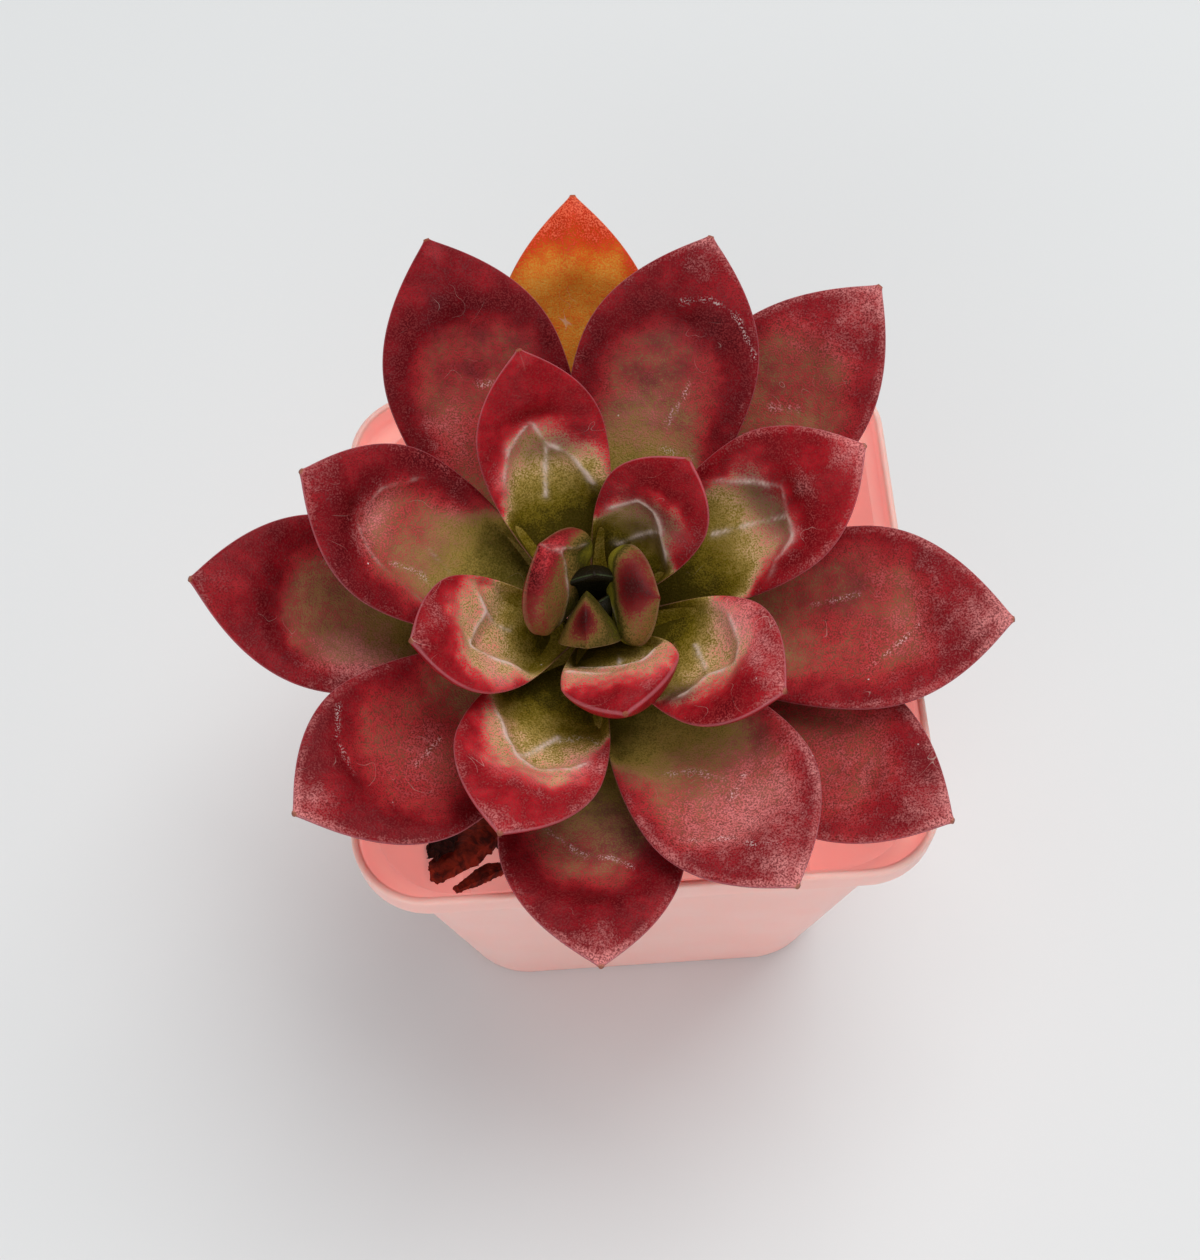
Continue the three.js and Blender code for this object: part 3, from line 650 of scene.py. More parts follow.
# %% Old scratches that dried as dotted pale lines
LEAF_SCARS = {
    11: [[(0.3, 0.45), (0.65, 0.4), (0.85, 0.44)]],
    13: [[(0.5, 0.4), (0.3, 0.5), (0.35, 0.6)]],
    14: [[(-0.65, 0.7), (-0.25, 0.76), (-0.15, 0.84), (0.2, 0.88)], [(-0.5, 0.45), (-0.1, 0.5), (0.1, 0.58)],
         [(0, 0.64), (0.3, 0.6)]],
    15: [[(0.1, 0.82), (-0.32, 0.85), (-0.75, 0.82), (-0.95, 0.74)],
         [(-0.1, 0.44), (-0.42, 0.43), (-0.72, 0.43)], [(-0.3, 0.62), (-0.2, 0.5)]],
    16: [[(-0.82, 0.72), (-0.6, 0.77), (-0.15, 0.79)], [(0, 0.5), (0.1, 0.6)]],
    17: [[(-0.47, 0.66), (-0.25, 0.72), (-0.07, 0.77)], [(0.2, 0.5), (0.3, 0.62)]],
    18: [[(-0.5, 0.5), (-0.3, 0.6), (0, 0.62)]],
    19: [[(-0.5, 0.56), (-0.07, 0.64), (0.2, 0.65), (0.45, 0.69)]],
    20: [[(-0.2, 0.66), (0.1, 0.62)]],
}

# %% How the relief is cut: depths, heights and widths in millimetres
PRINT_DEPTH = 1.0
PRINT_WALL = 1.9
DISH_DEPTH = 1.3
DISH_SLOPE = (-1.5, 4.0)
DISH_ROUNDING = 2.5
BORDER_WIDTH = 2.4
RIDGE_HEIGHT = 0.2
RIDGE_WIDTH = 0.26
RIDGE_HALO = 1.1
CREST_HEIGHT = 0.9
CREST_WIDTH = 2.0
WAVE_HEIGHT = 0.1
PRINT_UNEVENNESS = 0.2
LINE_PALENESS = 0.8
HALO_PALENESS = 0.36
FULL_RELIEF_LENGTH = 24
FULL_ROUNDING_LENGTH = 34
print("leaves with a measured print:", len(LEAF_PRINTS), "with scratches:", len(LEAF_SCARS))

# %% [markdown]
# Every place on a leaf is measured in millimetres from the borders and lines above. A smooth step or a bell
# curve of such a distance then gives the height of the relief there, or the strength of a colour.

# %% Distances on a leaf
# All points of the leaf with this index: how far along and across each one lies, whether it is on the upper
# face, and half the leaf's width there. The length is the whole leaf's, in millimetres.
Points = namedtuple("Points", "index along across top half length")


def smooth(value, low, high):
    share = np.clip((value - low) / (high - low), 0.0, 1.0)
    return share * share * (3.0 - 2.0 * share)


def bell(distance, width):
    return np.exp(-(distance / width) ** 2)


def print_border(across, index):
    """Where the pressed hollows end, as a share of the leaf's length, at each place across the leaf."""
    places, shares = zip(*LEAF_PRINTS.get(index + 1, GROWN_PRINT))
    softness = 0.03 + 0.12 * (1 - LEAF_LOOKS[index].crisp)
    shifts = np.linspace(-softness, softness, 5)
    return np.mean([np.interp(across + shift, places, shares) for shift in shifts], axis=0)


def print_distance(leaf):
    """Distance from the print's ridge in millimetres, positive inside the print."""
    step = 0.01
    rise = print_border(leaf.across + step, leaf.index) - print_border(leaf.across - step, leaf.index)
    slope = rise * leaf.length / (2 * step * np.maximum(leaf.half, 0.5))
    return (print_border(leaf.across, leaf.index) - leaf.along) * leaf.length / np.sqrt(1.0 + slope ** 2)


def border_distance(leaf, tip_from, side_width):
    """Distance from a round border, positive inside, that is wide at the tip and narrower at the sides."""
    rounding = DISH_ROUNDING * min(1.0, leaf.length / FULL_ROUNDING_LENGTH)
    from_side = (1 - np.abs(leaf.across)) * leaf.half - side_width + 8 * (1 - smooth(leaf.along, 0.15, 0.5))
    from_tip = (tip_from - leaf.along) * leaf.length
    return -rounding * np.log(np.exp(-from_side / rounding) + np.exp(-from_tip / rounding))


def distance_to_line(leaf, line):
    """Distance in millimetres from a line that is given by its places."""
    here = np.stack([leaf.across * leaf.half, leaf.along * leaf.length], axis=1)
    order = np.argsort(leaf.along)
    nearest = np.full(len(leaf.across), np.inf)
    corners = [np.array([across * np.interp(along, leaf.along[order], leaf.half[order]), along * leaf.length])
               for across, along in line]
    for start, end in zip(corners, corners[1:]):
        run = end - start
        share = np.clip((here - start) @ run / (run @ run), 0.0, 1.0)
        nearest = np.minimum(nearest, np.linalg.norm(here - start - share[:, None] * run, axis=1))
    return nearest


def uneven(leaf, pattern, size_mm):
    """Smooth unevenness from -1 to 1 with lumps of the given size. Each pattern number gives another one."""
    flat = zip(leaf.across * leaf.half / size_mm, leaf.along * leaf.length / size_mm)
    return np.array([noise.noise((x, y, 7.0 * (leaf.index + pattern))) for x, y in flat])


# %% [markdown]
# A leaf's colours are stored on its mesh as masks, one number for each point: how ripe the skin is, how
# dusky, how waxy with painted sheen, and where an edge highlight is painted. The materials read the masks
# later, so five materials serve twenty-three leaves.

# %% Masks on a leaf
BORDER_RIPENESS = 0.93
BACK_RIPENESS = 0.85
BACK_ROOT_RIPENESS = 0.15
RING_RIPENESS = 0.2
INNER_FILM = 0.22
HEART_EDGE_WIDTH = 0.04
EDGE_WIDTH = 0.16
SCAR_WIDTH = 0.2
TIP_DRYNESS = 0.7
# The lower faces of the core and heart leaves are less ripe than the others
HEART_BACKS = {1: 0.1, 2: 0.1, 3: 0.26, 4: 0.45, 5: 0.72}


def add_mask(mesh, name, values):
    mask = mesh.attributes.new(name, "FLOAT", "POINT")
    mask.data.foreach_set("value", values.astype(np.float32))


def leaf_ripeness(leaf, inside):
    """How ripe the skin is, from green to deep red, and how far each place lies in the red border."""
    look = LEAF_LOOKS[leaf.index]
    blur = 1.8 + 1.2 * (1 - look.crisp)
    middle = look.inner * smooth(leaf.along, look.green - 0.3, look.green + 0.16)
    middle = middle - 0.07 * look.crisp * smooth(inside, -0.6, 0.8)
    border = border_distance(leaf, look.red_at, look.side) + 1.2 * uneven(leaf, 20, 4.5)
    in_border = 1 - smooth(border + 0.6 * uneven(leaf, 60, 1.5), -blur, blur)
    ripe = middle + (BORDER_RIPENESS - middle) * in_border
    back = HEART_BACKS.get(leaf.index + 1, BACK_RIPENESS) - BACK_ROOT_RIPENESS
    ripe = np.where(leaf.top > 0, ripe, BACK_ROOT_RIPENESS + back * smooth(leaf.along, 0.25, 0.6))
    ring = bell(border + 0.8 + 1.6 * uneven(leaf, 90, 3.5), 1.8)
    return ripe + RING_RIPENESS * look.ring * ring * smooth(leaf.along, 0.35, 0.6) * leaf.top, in_border


def leaf_film_and_sheen(leaf, in_border):
    """The waxy film: on the tip and the margins, where it is also painted sheen, and thinner inside the red
    border.
    """
    look = LEAF_LOOKS[leaf.index]
    side = (1 - np.abs(leaf.across)) * leaf.half
    at_tip = bell(leaf.across * leaf.half, 3.6) * smooth(leaf.along, 0.83, 0.95)
    # Painted sheen on the tip and the margins, together with the waxy film
    film = look.rim * (at_tip + 0.6 * (1 - smooth(side, 0.5, 1.6))) * smooth(leaf.along, 0.3, 0.6) * leaf.top
    return film + INNER_FILM * look.film * (1 - in_border) * smooth(leaf.along, 0.4, 0.6)


def paint_leaf(mesh, leaf, inside, pale):
    """Masks for the skin: ripeness, dusk, waxy film with painted sheen, pale lines, painted edge highlight,
    tip and scratches.
    """
    ripe, in_border = leaf_ripeness(leaf, inside)
    masks = {"ripe": ripe, "dusk": np.zeros(len(ripe)), "film": leaf_film_and_sheen(leaf, in_border)}
    for kind, place, size, strength in LEAF_SPOTS.get(leaf.index + 1, []):
        spot = bell(leaf.across - place[0], size[0]) * bell(leaf.along - place[1], size[1])
        face = 1 - leaf.top if kind.startswith("back_") else leaf.top
        masks[kind.removeprefix("back_")] += strength * spot * face
    in_heart = leaf.index < HEART_LEAVES
    side = (1 - np.abs(leaf.across)) * leaf.half
    masks["pale_line"] = pale
    # Painted highlight along each margin
    masks["edge_highlight"] = 1 - smooth(side, 0.0, HEART_EDGE_WIDTH if in_heart else EDGE_WIDTH)
    masks["tip"] = smooth(leaf.along, 0.993, 1.0) * (0.0 if in_heart else TIP_DRYNESS)
    masks["scar"] = np.zeros(len(ripe))
    for scar in LEAF_SCARS.get(leaf.index + 1, []):
        distance = distance_to_line(leaf, scar) + 0.5 * uneven(leaf, 80, 1.5)
        masks["scar"] = np.maximum(masks["scar"], bell(distance, SCAR_WIDTH) * leaf.top)
    for name, values in masks.items():
        add_mask(mesh, name, values)


# %% [markdown]
# A leaf is a ball pulled into a leaf: its poles become the root and the tip, its circles of latitude the
# sections. Each point of the ball knows how far it lies along the leaf and how far across, and is moved to
# the place that the leaf has there. The same two numbers drive the pressed hollows, the ridges and the
# masks that the colours read, so relief and colour always agree.

# %% Leaf shape
LEAF_SIDES = 144
LEAF_SLICES = 110
CROWDING = 1.2
AXIS = np.array([0.0, 0.0, 1.0])


def ball_mesh(name, sides, slices):
    bm = bmesh.new()
    bmesh.ops.create_uvsphere(bm, u_segments=sides, v_segments=slices, radius=1.0)
    return to_object(name, bm)


def read_points(mesh):
    points = np.empty(len(mesh.vertices) * 3)
    mesh.vertices.foreach_get("co", points)
    return points.reshape(-1, 3)


def leaf_places(points, slices):
    """Along (0 root to 1 tip), across (-1 to 1), top (1 upper face, 0 lower) and fill (0 at the poles)."""
    ring = np.round(np.arccos(np.clip(-points[:, 2], -1, 1)) / math.pi * slices)
    even = np.clip((ring - 1) / (slices - 2), 0.0, 1.0)
    along = np.sin(even * math.pi / 2) ** CROWDING
    around = np.arctan2(points[:, 1], points[:, 0])
    across = 0.5 * np.cos(around) + 0.5 * (1 - 2 * np.abs(around) / math.pi)
    top = np.where(around >= 0, 1.0, 0.0)
    fill = np.where((ring < 1) | (ring > slices - 1), 0.0, 1.0)
    return along, across * fill, top, fill


def leaf_spine(index):
    """Root, knee and tip of a leaf's middle line, as distance from the axis and height over the heart."""
    shape = LEAF_SHAPES[index]
    further, higher = FOLDED_TIPS.get(index + 1, (0.0, 0.0))
    order = index - CORE_LEAVES
    depth = STEM_TOP_DEPTH - CLEARANCE if order < 0 else FIRST_ROOT_DEPTH + ROOT_PITCH * order
    radius = CORE_ROOT_RADIUS if order < 0 else stem_radius(depth) + CLEARANCE
    root = np.array([radius, -depth])
    tip = np.array([shape.reach + further, shape.rise + higher])
    chord = tip - root
    below = np.array([chord[1], -chord[0]])
    knee = (root + tip) / 2 + below * 0.5 * math.tan(math.radians(shape.bow))
    return root, knee - np.array([LEANING_IN.get(index + 1, 0.0), 0.0]), tip


def leaf_relief(leaf):
    """Height of the pressed hollows and ridges, the distance inside the print, and the pale lines."""
    look = LEAF_LOOKS[leaf.index]
    size = min(1.0, leaf.length / FULL_RELIEF_LENGTH)
    bumpy = uneven(leaf, 0, 2.2)
    print_top = max(share for _, share in LEAF_PRINTS.get(leaf.index + 1, GROWN_PRINT))
    inside = print_distance(leaf) + PRINT_UNEVENNESS * bumpy
    dish = border_distance(leaf, print_top + 0.05, BORDER_WIDTH * size)
    nearest = np.abs(inside) + 0.6 * smooth(np.abs(leaf.across), 0.6, 0.95)
    for ridge in LEAF_RIDGES.get(leaf.index + 1, []):
        nearest = np.minimum(nearest, distance_to_line(leaf, ridge) + 0.08)
    line = bell(nearest, RIDGE_WIDTH)
    hollow = look.crisp * PRINT_DEPTH * size * smooth(inside, -0.4, PRINT_WALL * size)
    hollow = hollow + DISH_DEPTH * size * smooth(dish, DISH_SLOPE[0] * size, DISH_SLOPE[1] * size)
    crest = bell(leaf.across * leaf.half, CREST_WIDTH * size) * smooth(leaf.along, print_top, print_top + 0.1)
    crest = crest * (1 - smooth(leaf.along, 0.94, 1.0)) * CREST_HEIGHT * size ** 3
    relief = crest - hollow + look.crisp * RIDGE_HEIGHT * line + WAVE_HEIGHT * uneven(leaf, 40, 4.5)
    fading = 0.45 + 0.55 * smooth(bumpy, -0.5, 0.4)
    pale = look.crisp * fading * (LINE_PALENESS * line + HALO_PALENESS * bell(nearest, RIDGE_HALO))
    return relief, inside, pale


def leaf_section(index, along, across, top):
    """Half the width at each place, and the height of the plain skin over the leaf's middle surface."""
    shape = LEAF_SHAPES[index]
    growing = np.sin(np.clip(along / WIDEST_AT, 0, 1) * math.pi / 2)
    root_share = min(WIDEST_ROOT_SHARE, ROOT_WIDTH / shape.width)
    past = np.clip((along - WIDEST_AT) / (1 - WIDEST_AT), 0, 1)
    outline = np.where(along < WIDEST_AT, root_share + (1 - root_share) * growing ** WIDENING,
                       1 - past ** SHARP_TIPS.get(index + 1, TIP_BLUNTNESS))
    half = np.hypot(TIP_WIDTH, shape.width * outline) / 2
    taper = 1 - past ** 2
    grown = ROOT_THICKNESS + (shape.thickness - ROOT_THICKNESS) * growing
    thickness = grown * taper + TIP_THICKNESS * (1 - taper)
    section = 1 - across ** 2
    dome = 1 - np.abs(across) ** PEAK if index + 1 == PEAKED_LEAF else np.sqrt(section)
    fold = FOLDED_BACK.get(index + 1, 0.0)
    top_share = YOUNG_TOP_SHARES[index] if index < len(YOUNG_TOP_SHARES) else TOP_SHARE
    skin = np.where(top > 0, (top_share + fold) * dome, (top_share + fold - 1) * section ** KEEL) - fold
    hollowing = shape.cup * growing * (1 - (1 - CUP_AT_TIP) * smooth(along, FLATTENS_FROM, 1.0))
    return half, hollowing * half * (across ** 2 - 0.5) + thickness * skin


def leaf_directions(index, run):
    """Outward, sideways, along the width and out of the face, in the rosette's frame."""
    angle = math.radians(SPIRAL_START + GOLDEN_ANGLE * (index - CORE_LEAVES) + LEAF_SHAPES[index].turn)
    twist = math.radians(YOUNG_TWISTS[index]) if index < len(YOUNG_TWISTS) else 0.0
    outward = np.array([math.cos(angle), math.sin(angle), 0.0])
    sideways = np.array([-math.sin(angle), math.cos(angle), 0.0])
    normal = run[:, :1] * AXIS - run[:, 1:] * outward
    widthways = math.cos(twist) * sideways + math.sin(twist) * normal
    return outward, sideways, widthways, math.cos(twist) * normal - math.sin(twist) * sideways


def shape_leaf(index):
    piece = ball_mesh(f"leaf_{index + 1:02d}_skin", LEAF_SIDES, LEAF_SLICES)
    along, across, top, fill = leaf_places(read_points(piece.data), LEAF_SLICES)
    root, knee, tip = leaf_spine(index)
    length = np.linalg.norm(tip - root)
    share = along[:, None]
    middle = root * (1 - share) ** 2 + 2 * knee * share * (1 - share) + tip * share ** 2
    run = (1 - share) * (knee - root) + share * (tip - knee)
    run = run / np.linalg.norm(run, axis=1, keepdims=True)
    half, lift = leaf_section(index, along, across, top)
    leaf = Points(index, along, across, top, half, length)
    relief, inside, pale = leaf_relief(leaf)
    upper = top * smooth(1 - np.abs(across), 0.0, 0.14)
    lift = lift + relief * upper

    outward, sideways, widthways, normal = leaf_directions(index, run)
    spot = middle[:, :1] * outward + middle[:, 1:] * AXIS
    spot = spot + (LEAF_SHAPES[index].sweep * np.sin(along * math.pi))[:, None] * sideways
    spot = spot + (half * across)[:, None] * widthways + (lift * fill)[:, None] * normal
    placed = np.clip((spot @ ROSETTE.T + np.array(HEART)) * MM, CAD_BOX[0], CAD_BOX[1])
    piece.data.vertices.foreach_set("co", placed.ravel())
    piece.data.update()
    paint_leaf(piece.data, leaf, inside, pale * upper)
    return piece


# %% [markdown]
# Leaf skin is waxy, fleshy and covered with tiny papillae, painted as a fine grain of highlights on their
# tops and shade in the pits between them. Its colour follows one mask, the ripeness, through a colour ramp:
# olive at the root, partly darkened there by painted shade, tan further out, crimson where the sun reached.
# The borders between the colours are stippled, so the ripeness is roughened with grain before the ramp reads
# it. Dusky patches, a lilac film of wax that is also painted sheen on tips and margins, pale ridge lines,
# painted edge highlights, dark points, scratches and dust lie on top.

# %% Leaf colours, with the ripeness at which each one is reached
PALE_LINE = srgb(222, 200, 188)
# Painted highlight along the leaf margins
EDGE_HIGHLIGHT = srgb(208, 128, 136)
# Painted highlight on the papillae's tops, and painted shade in the pits between them
PAPILLA_HIGHLIGHT = srgb(232, 172, 156)
PIT_SHADE = srgb(50, 8, 12)
TIP_BROWN = srgb(150, 96, 70)
DARK_POINT = srgb(48, 40, 14)
DUST = srgb(238, 226, 222)
# Waxy film, which on tips, margins and film spots also stands for painted sheen
FILM_AND_SHEEN = srgb(208, 128, 126)
# Painted shade: the core leaves, deep in the heart, are near black rather than their own green
SHADED_CORE_COLORS = {
    0.0: srgb(20, 20, 8),
    1.0: srgb(44, 18, 14),
}
HEART_COLORS = {
    0.0: srgb(128, 118, 34),
    0.2: srgb(60, 56, 16),
    0.42: srgb(120, 94, 46),
    0.56: srgb(118, 58, 40),
    0.68: srgb(112, 26, 26),
    0.84: srgb(96, 10, 14),
    1.0: srgb(66, 4, 6),
}
YOUNG_COLORS = {
    # Dark olive at the roots, deep in the rosette: partly the skin's green, partly painted shade
    0.0: srgb(70, 60, 8),
    0.14: srgb(112, 96, 20),
    0.36: srgb(160, 136, 70),
    0.5: srgb(196, 160, 118),
    0.62: srgb(204, 112, 98),
    0.76: srgb(196, 36, 48),
    0.88: srgb(160, 8, 24),
    1.0: srgb(112, 4, 14),
}
GROWN_COLORS = {
    # Dark olive at the roots, deep in the rosette: partly the skin's green, partly painted shade
    0.0: srgb(100, 88, 28),
    0.22: srgb(148, 126, 58),
    0.42: srgb(158, 112, 76),
    0.58: srgb(152, 74, 60),
    0.72: srgb(162, 44, 46),
    0.86: srgb(150, 14, 28),
    1.0: srgb(98, 4, 14),
}
ORANGE_COLORS = {
    0.1: srgb(222, 172, 84),
    0.4: srgb(208, 132, 42),
    0.6: srgb(200, 88, 20),
    0.8: srgb(194, 46, 16),
    1.0: srgb(208, 86, 56),
}

# The core's dusk and film are painted shade; the near-black one also darkens the heart leaves' dusky spots
CORE_SHADE_AND_DUSK = srgb(20, 10, 8)
SHADED_CORE_FILM = srgb(60, 60, 40)
# Painted edge highlights of the core and heart leaves
CORE_EDGE_HIGHLIGHT = srgb(70, 84, 52)
HEART_EDGE_HIGHLIGHT = srgb(150, 122, 92)
# Painted sheen: a brighter crimson on the lit tip and back of the heart leaves
HEART_PAINTED_SHEEN = srgb(190, 48, 54)
YOUNG_DUSK = srgb(48, 16, 18)
GROWN_DUSK = srgb(66, 20, 28)
ORANGE_DUSK = srgb(150, 60, 30)
# Film and painted sheen of the orange leaf, also used as its painted edge highlight
ORANGE_FILM_AND_SHEEN = srgb(232, 150, 120)

# %% Leaf skin, sizes in millimetres
GRAIN_SIZE = 0.21
MOTTLE_SIZE = 1.8
CLOUD_SIZE = 4.2
PATCH_SIZE = 7.0

# How much of the colour under it each layer covers where it is strongest
DUSK_COVER = 0.8
FILM_AND_SHEEN_COVER = 0.75
LINE_COVER = 0.75
EDGE_HIGHLIGHT_COVER = 0.45
SCAR_COVER = 0.5
DUST_COVER = 0.7
PAPILLA_HIGHLIGHT_COVER = 0.035
PIT_SHADE_COVER = 0.4
# How much lighter or darker the grain makes the skin, as painted light and shade on the papillae
SHADING = 0.36


def make_leaf_skin(name, colors, dusk_color, film_and_sheen_color, edge_highlight_color,
                   patchy=0.1, clouded=0.1, grainy=1.0, worn=0.35):
    mix = Recipe(name)
    grain = mix.noise(GRAIN_SIZE, 1.5, 0.6)
    coarse = mix.noise(MOTTLE_SIZE, 3.0, 0.6)
    patch = mix.noise(PATCH_SIZE, 2.0, 0.5)
    grit = mix.span(grain, 0.3, 0.7, -0.5, 0.5)
    cloud = mix.span(coarse, 0.25, 0.75, -0.5, 0.5)
    stipple = mix.math("MULTIPLY", grit, mix.span(mix.mask("ripe"), 0.15, 0.55, 0.09, 0.3))
    ripe = mix.math("ADD", stipple, mix.mask("ripe"))
    ripe = mix.math("MULTIPLY_ADD", cloud, 0.12, ripe)
    ripe = mix.math("MULTIPLY_ADD", mix.span(patch, 0.25, 0.75, -0.5, 0.5), patchy, ripe)
    color = mix.ramp(ripe, colors)
    dusk = mix.math("MULTIPLY_ADD", grit, 0.35, mix.mask("dusk"))
    dusk = mix.math("MULTIPLY_ADD", mix.span(mix.noise(CLOUD_SIZE, 3.0, 0.6), 0.35, 0.8), clouded, dusk)
    color = mix.paint(color, dusk_color, mix.span(dusk, 0.1, 0.95, 0.0, DUSK_COVER))
    # Waxy film and, on tips, margins and film spots, painted sheen
    film = mix.math("MULTIPLY_ADD", grit, 0.18, mix.mask("film"))
    film = mix.math("MULTIPLY_ADD", cloud, 0.3, film)
    color = mix.paint(color, film_and_sheen_color, mix.span(film, 0.15, 1.0, 0.0, FILM_AND_SHEEN_COVER))
    # Painted light and shade of the papillae
    color = add_grain_light_and_shade(mix, color, grain, ripe, grainy)
    line = mix.math("MULTIPLY", mix.mask("pale_line"), mix.span(coarse, 0.3, 0.6, 0.45, 1.0))
    color = mix.paint(color, PALE_LINE, mix.span(line, 0.05, 0.9, 0.0, LINE_COVER))
    # Painted highlight along the margins
    color = mix.paint(color, edge_highlight_color, mix.math("MULTIPLY", mix.mask("edge_highlight"), EDGE_HIGHLIGHT_COVER))
    color = mix.paint(color, TIP_BROWN, mix.mask("tip"))
    color = add_blemishes(mix, color, grain, patch, worn)
    mix.feed(mix.shader, {
        "Base Color": color,
        "Roughness": 0.4,
        "Specular IOR Level": 0.08,
        "Subsurface Weight": 0.06,
        "Subsurface Radius": (1.0, 0.4, 0.25),
        "Subsurface Scale": 0.6 * MM,
        "Normal": mix.bump(grain, 0.10, 0.8, mix.bump(coarse, 0.25, 0.4)),
    })
    return mix.material


def add_grain_light_and_shade(mix, color, grain, ripe, grainy):
    """Painted highlights on the papillae and painted shade in the pits between them, stronger where the skin
    is red.
    """
    red = mix.span(ripe, 0.35, 0.7, 0.3, 1.0)
    shade = mix.span(grain, 0.36, 0.64, 1 - SHADING * grainy, 1 + SHADING * grainy)
    color = mix.paint(color, shade, red, "MULTIPLY")
    points = mix.math("MULTIPLY", mix.span(grain, 0.46, 0.62, 0.0, PAPILLA_HIGHLIGHT_COVER * grainy), red)
    color = mix.paint(color, PAPILLA_HIGHLIGHT, points)
    pit_shading = mix.math("MULTIPLY", mix.span(grain, 0.48, 0.34, 0.0, PIT_SHADE_COVER * grainy), red)
    return mix.paint(color, PIT_SHADE, pit_shading)


def add_blemishes(mix, color, grain, patch, worn):
    """Fine hairlines in the wax, dotted scars, dark points on the green, and grains of dust."""
    drawn = mix.noise(7.0, 1.0, 0.5, 1.5)
    middle = mix.math("ABSOLUTE", mix.math("SUBTRACT", drawn, 0.5))
    hairline = mix.span(middle, 0.0, 0.0035, 1.0, 0.0)
    hairline = mix.math("MULTIPLY", hairline, mix.span(patch, 0.58, 0.66, 0.0, worn))
    color = mix.paint(color, PALE_LINE, hairline)
    scar = mix.math("MULTIPLY", mix.mask("scar"), mix.span(grain, 0.5, 0.62, 0.0, SCAR_COVER))
    color = mix.paint(color, DUST, scar)
    green = mix.span(mix.mask("ripe"), 0.3, 0.6, 1.0, 0.0)
    color = mix.paint(color, DARK_POINT, mix.math("MULTIPLY", mix.points(1.2, 0.8, 0.08), green))
    return mix.paint(color, DUST, mix.math("MULTIPLY", mix.points(1.6, 0.965, 0.09), DUST_COVER))


# %% The five skins, from the core outwards
# The core leaves' skin is painted shade
SHADED_CORE_SKIN = make_leaf_skin("shaded_core_leaf_skin", SHADED_CORE_COLORS, CORE_SHADE_AND_DUSK, SHADED_CORE_FILM, CORE_EDGE_HIGHLIGHT,
                           grainy=0.3, worn=0.0)
HEART_SKIN = make_leaf_skin("heart_leaf_skin", HEART_COLORS, CORE_SHADE_AND_DUSK, HEART_PAINTED_SHEEN, HEART_EDGE_HIGHLIGHT,
                            grainy=0.6, worn=0.0)
YOUNG_SKIN = make_leaf_skin("young_leaf_skin", YOUNG_COLORS, YOUNG_DUSK, FILM_AND_SHEEN, EDGE_HIGHLIGHT)
GROWN_SKIN = make_leaf_skin("grown_leaf_skin", GROWN_COLORS, GROWN_DUSK, FILM_AND_SHEEN, EDGE_HIGHLIGHT, 0.14, 0.4)
ORANGE_SKIN = make_leaf_skin("orange_leaf_skin", ORANGE_COLORS, ORANGE_DUSK, ORANGE_FILM_AND_SHEEN, ORANGE_FILM_AND_SHEEN,
                             grainy=0.4)


def skin_of(index):
    if index + 1 == ORANGE_LEAF:
        return ORANGE_SKIN
    if index < CORE_LEAVES:
        return SHADED_CORE_SKIN
    if index < HEART_LEAVES:
        return HEART_SKIN
    return YOUNG_SKIN if index < YOUNG_LEAVES else GROWN_SKIN


print("leaf skins:", sum(material.name.endswith("leaf_skin") for material in bpy.data.materials))

# %% Leaves
for leaf_index in range(len(LEAF_SHAPES)):
    leaf = shape_leaf(leaf_index)
    leaf_slot = "inner_leaf" if leaf_index < YOUNG_LEAVES else "outer_leaf"
    hand_in(leaf, skin_of(leaf_index), leaf_slot, f"leaf_{leaf_index + 1:02d}")

# %% [markdown]
# The stem, the root ball and the bark are barely seen, deep under the leaves, but they are there from every
# side. Each one starts as its solid, whose doubled points are merged, is cut finer, and is then roughened
# by moving every point along its normal by a fractal noise.

# %% Soil, bark and stem
# The roughness is sunk by this share of its depth, so that hardly any of it stands out of the solid
SUNK = 0.6


def refine_solid(node, name, cuts, size_mm, depth_mm):
    bm = bmesh.new()
    bm.from_mesh(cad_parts[node].data)
    bmesh.ops.remove_doubles(bm, verts=bm.verts, dist=0.001 * MM)
    for _ in range(cuts):
        bmesh.ops.subdivide_edges(bm, edges=bm.edges, cuts=1, use_grid_fill=True)
    bm.normal_update()
    moves = []
    for vert in bm.verts:
        height = noise.fractal(vert.co / (size_mm * MM), 0.7, 2.0, 4)
        moves.append(vert.co + vert.normal * (height - SUNK) * depth_mm * MM)
    for vert, place in zip(bm.verts, moves):
        vert.co = place
    return to_object(name, bm)


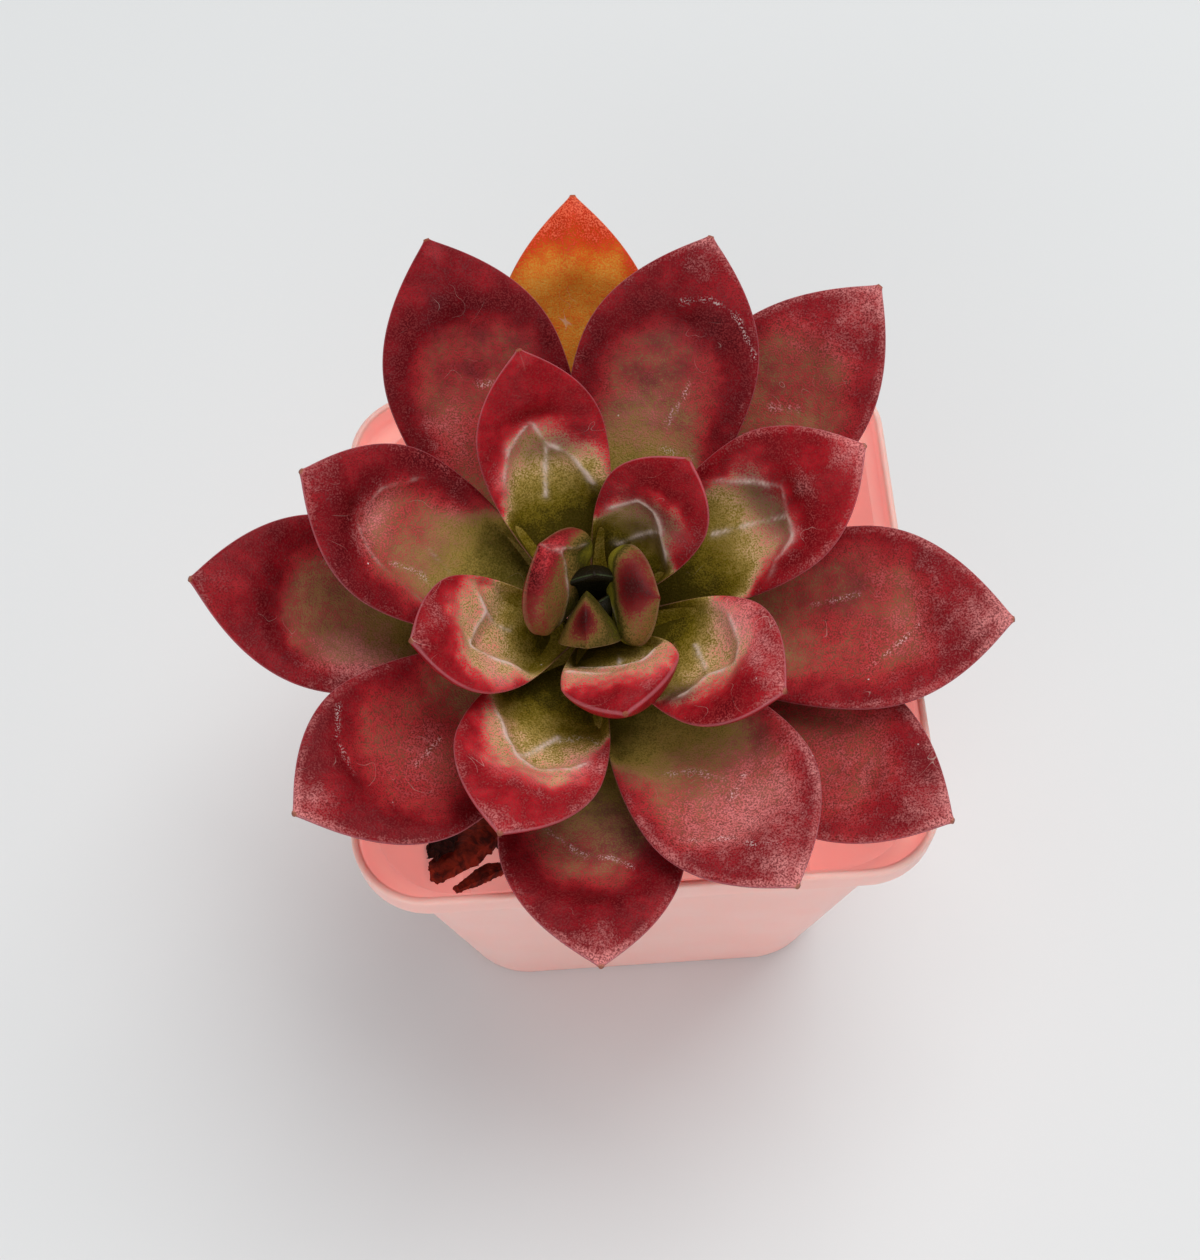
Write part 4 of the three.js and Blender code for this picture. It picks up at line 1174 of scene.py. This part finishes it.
def make_rough_finish(name, dark, light, size_mm, bump_mm, rough):
    mix = Recipe(name)
    cloud = mix.span(mix.noise(size_mm, 5.0, 0.65, 0.6), 0.35, 0.7)
    fine = mix.bump(mix.noise(size_mm * 0.4, 4.0, 0.7), bump_mm, 0.8)
    mix.feed(mix.shader, {"Base Color": mix.paint(dark, light, cloud), "Roughness": rough, "Normal": fine})
    return mix.material


SOIL = make_rough_finish("dark_soil", srgb(14, 10, 9), srgb(58, 40, 32),
                         size_mm=1.6, bump_mm=0.4, rough=0.95)
BARK = make_rough_finish("red_bark", srgb(52, 18, 12), srgb(150, 64, 38),
                         size_mm=2.4, bump_mm=0.3, rough=0.8)
STEM_SKIN = make_rough_finish("woody_stem", srgb(92, 74, 48), srgb(150, 128, 92),
                              size_mm=2.0, bump_mm=0.3, rough=0.8)

# Solid, finer piece, finish, slot, number of cuts, and the roughness's size and depth in millimetres
ROUGH_PIECES = [
    ("root_ball", "packed_soil", SOIL, "soil", 2, 3.0, 1.0),
    ("soil_crumb", "soil_lump", SOIL, "soil", 3, 1.2, 0.4),
    ("stem", "scarred_stem", STEM_SKIN, "stem", 2, 2.5, 0.2),
    ("bark_chip_1", "bark_large", BARK, "bark", 3, 2.0, 0.4),
    ("bark_chip_2", "bark_small", BARK, "bark", 3, 1.6, 0.3),
]
for solid, rough_name, finish, rough_slot, *roughness in ROUGH_PIECES:
    hand_in(refine_solid(solid, rough_name, *roughness), finish, rough_slot, solid)

# %% [markdown]
# A plain pale floor, as large as the view needs.

# %% Floor
FLOOR_HALF = 1.5
FLOOR_COLORS = srgb(214, 216, 216), srgb(218, 220, 220)


def make_floor():
    bm = bmesh.new()
    bmesh.ops.create_grid(bm, x_segments=1, y_segments=1, size=FLOOR_HALF)
    floor = to_object("floor", bm, smooth=False)
    mix = Recipe("pale_floor")
    shade = mix.span(mix.noise(400, 2.0), 0.3, 0.7)
    color = mix.paint(*FLOOR_COLORS, shade)
    mix.feed(mix.shader, {"Base Color": color, "Roughness": 0.7})
    floor.data.materials.append(mix.material)


make_floor()
print("floor width, m:", 2 * FLOOR_HALF)
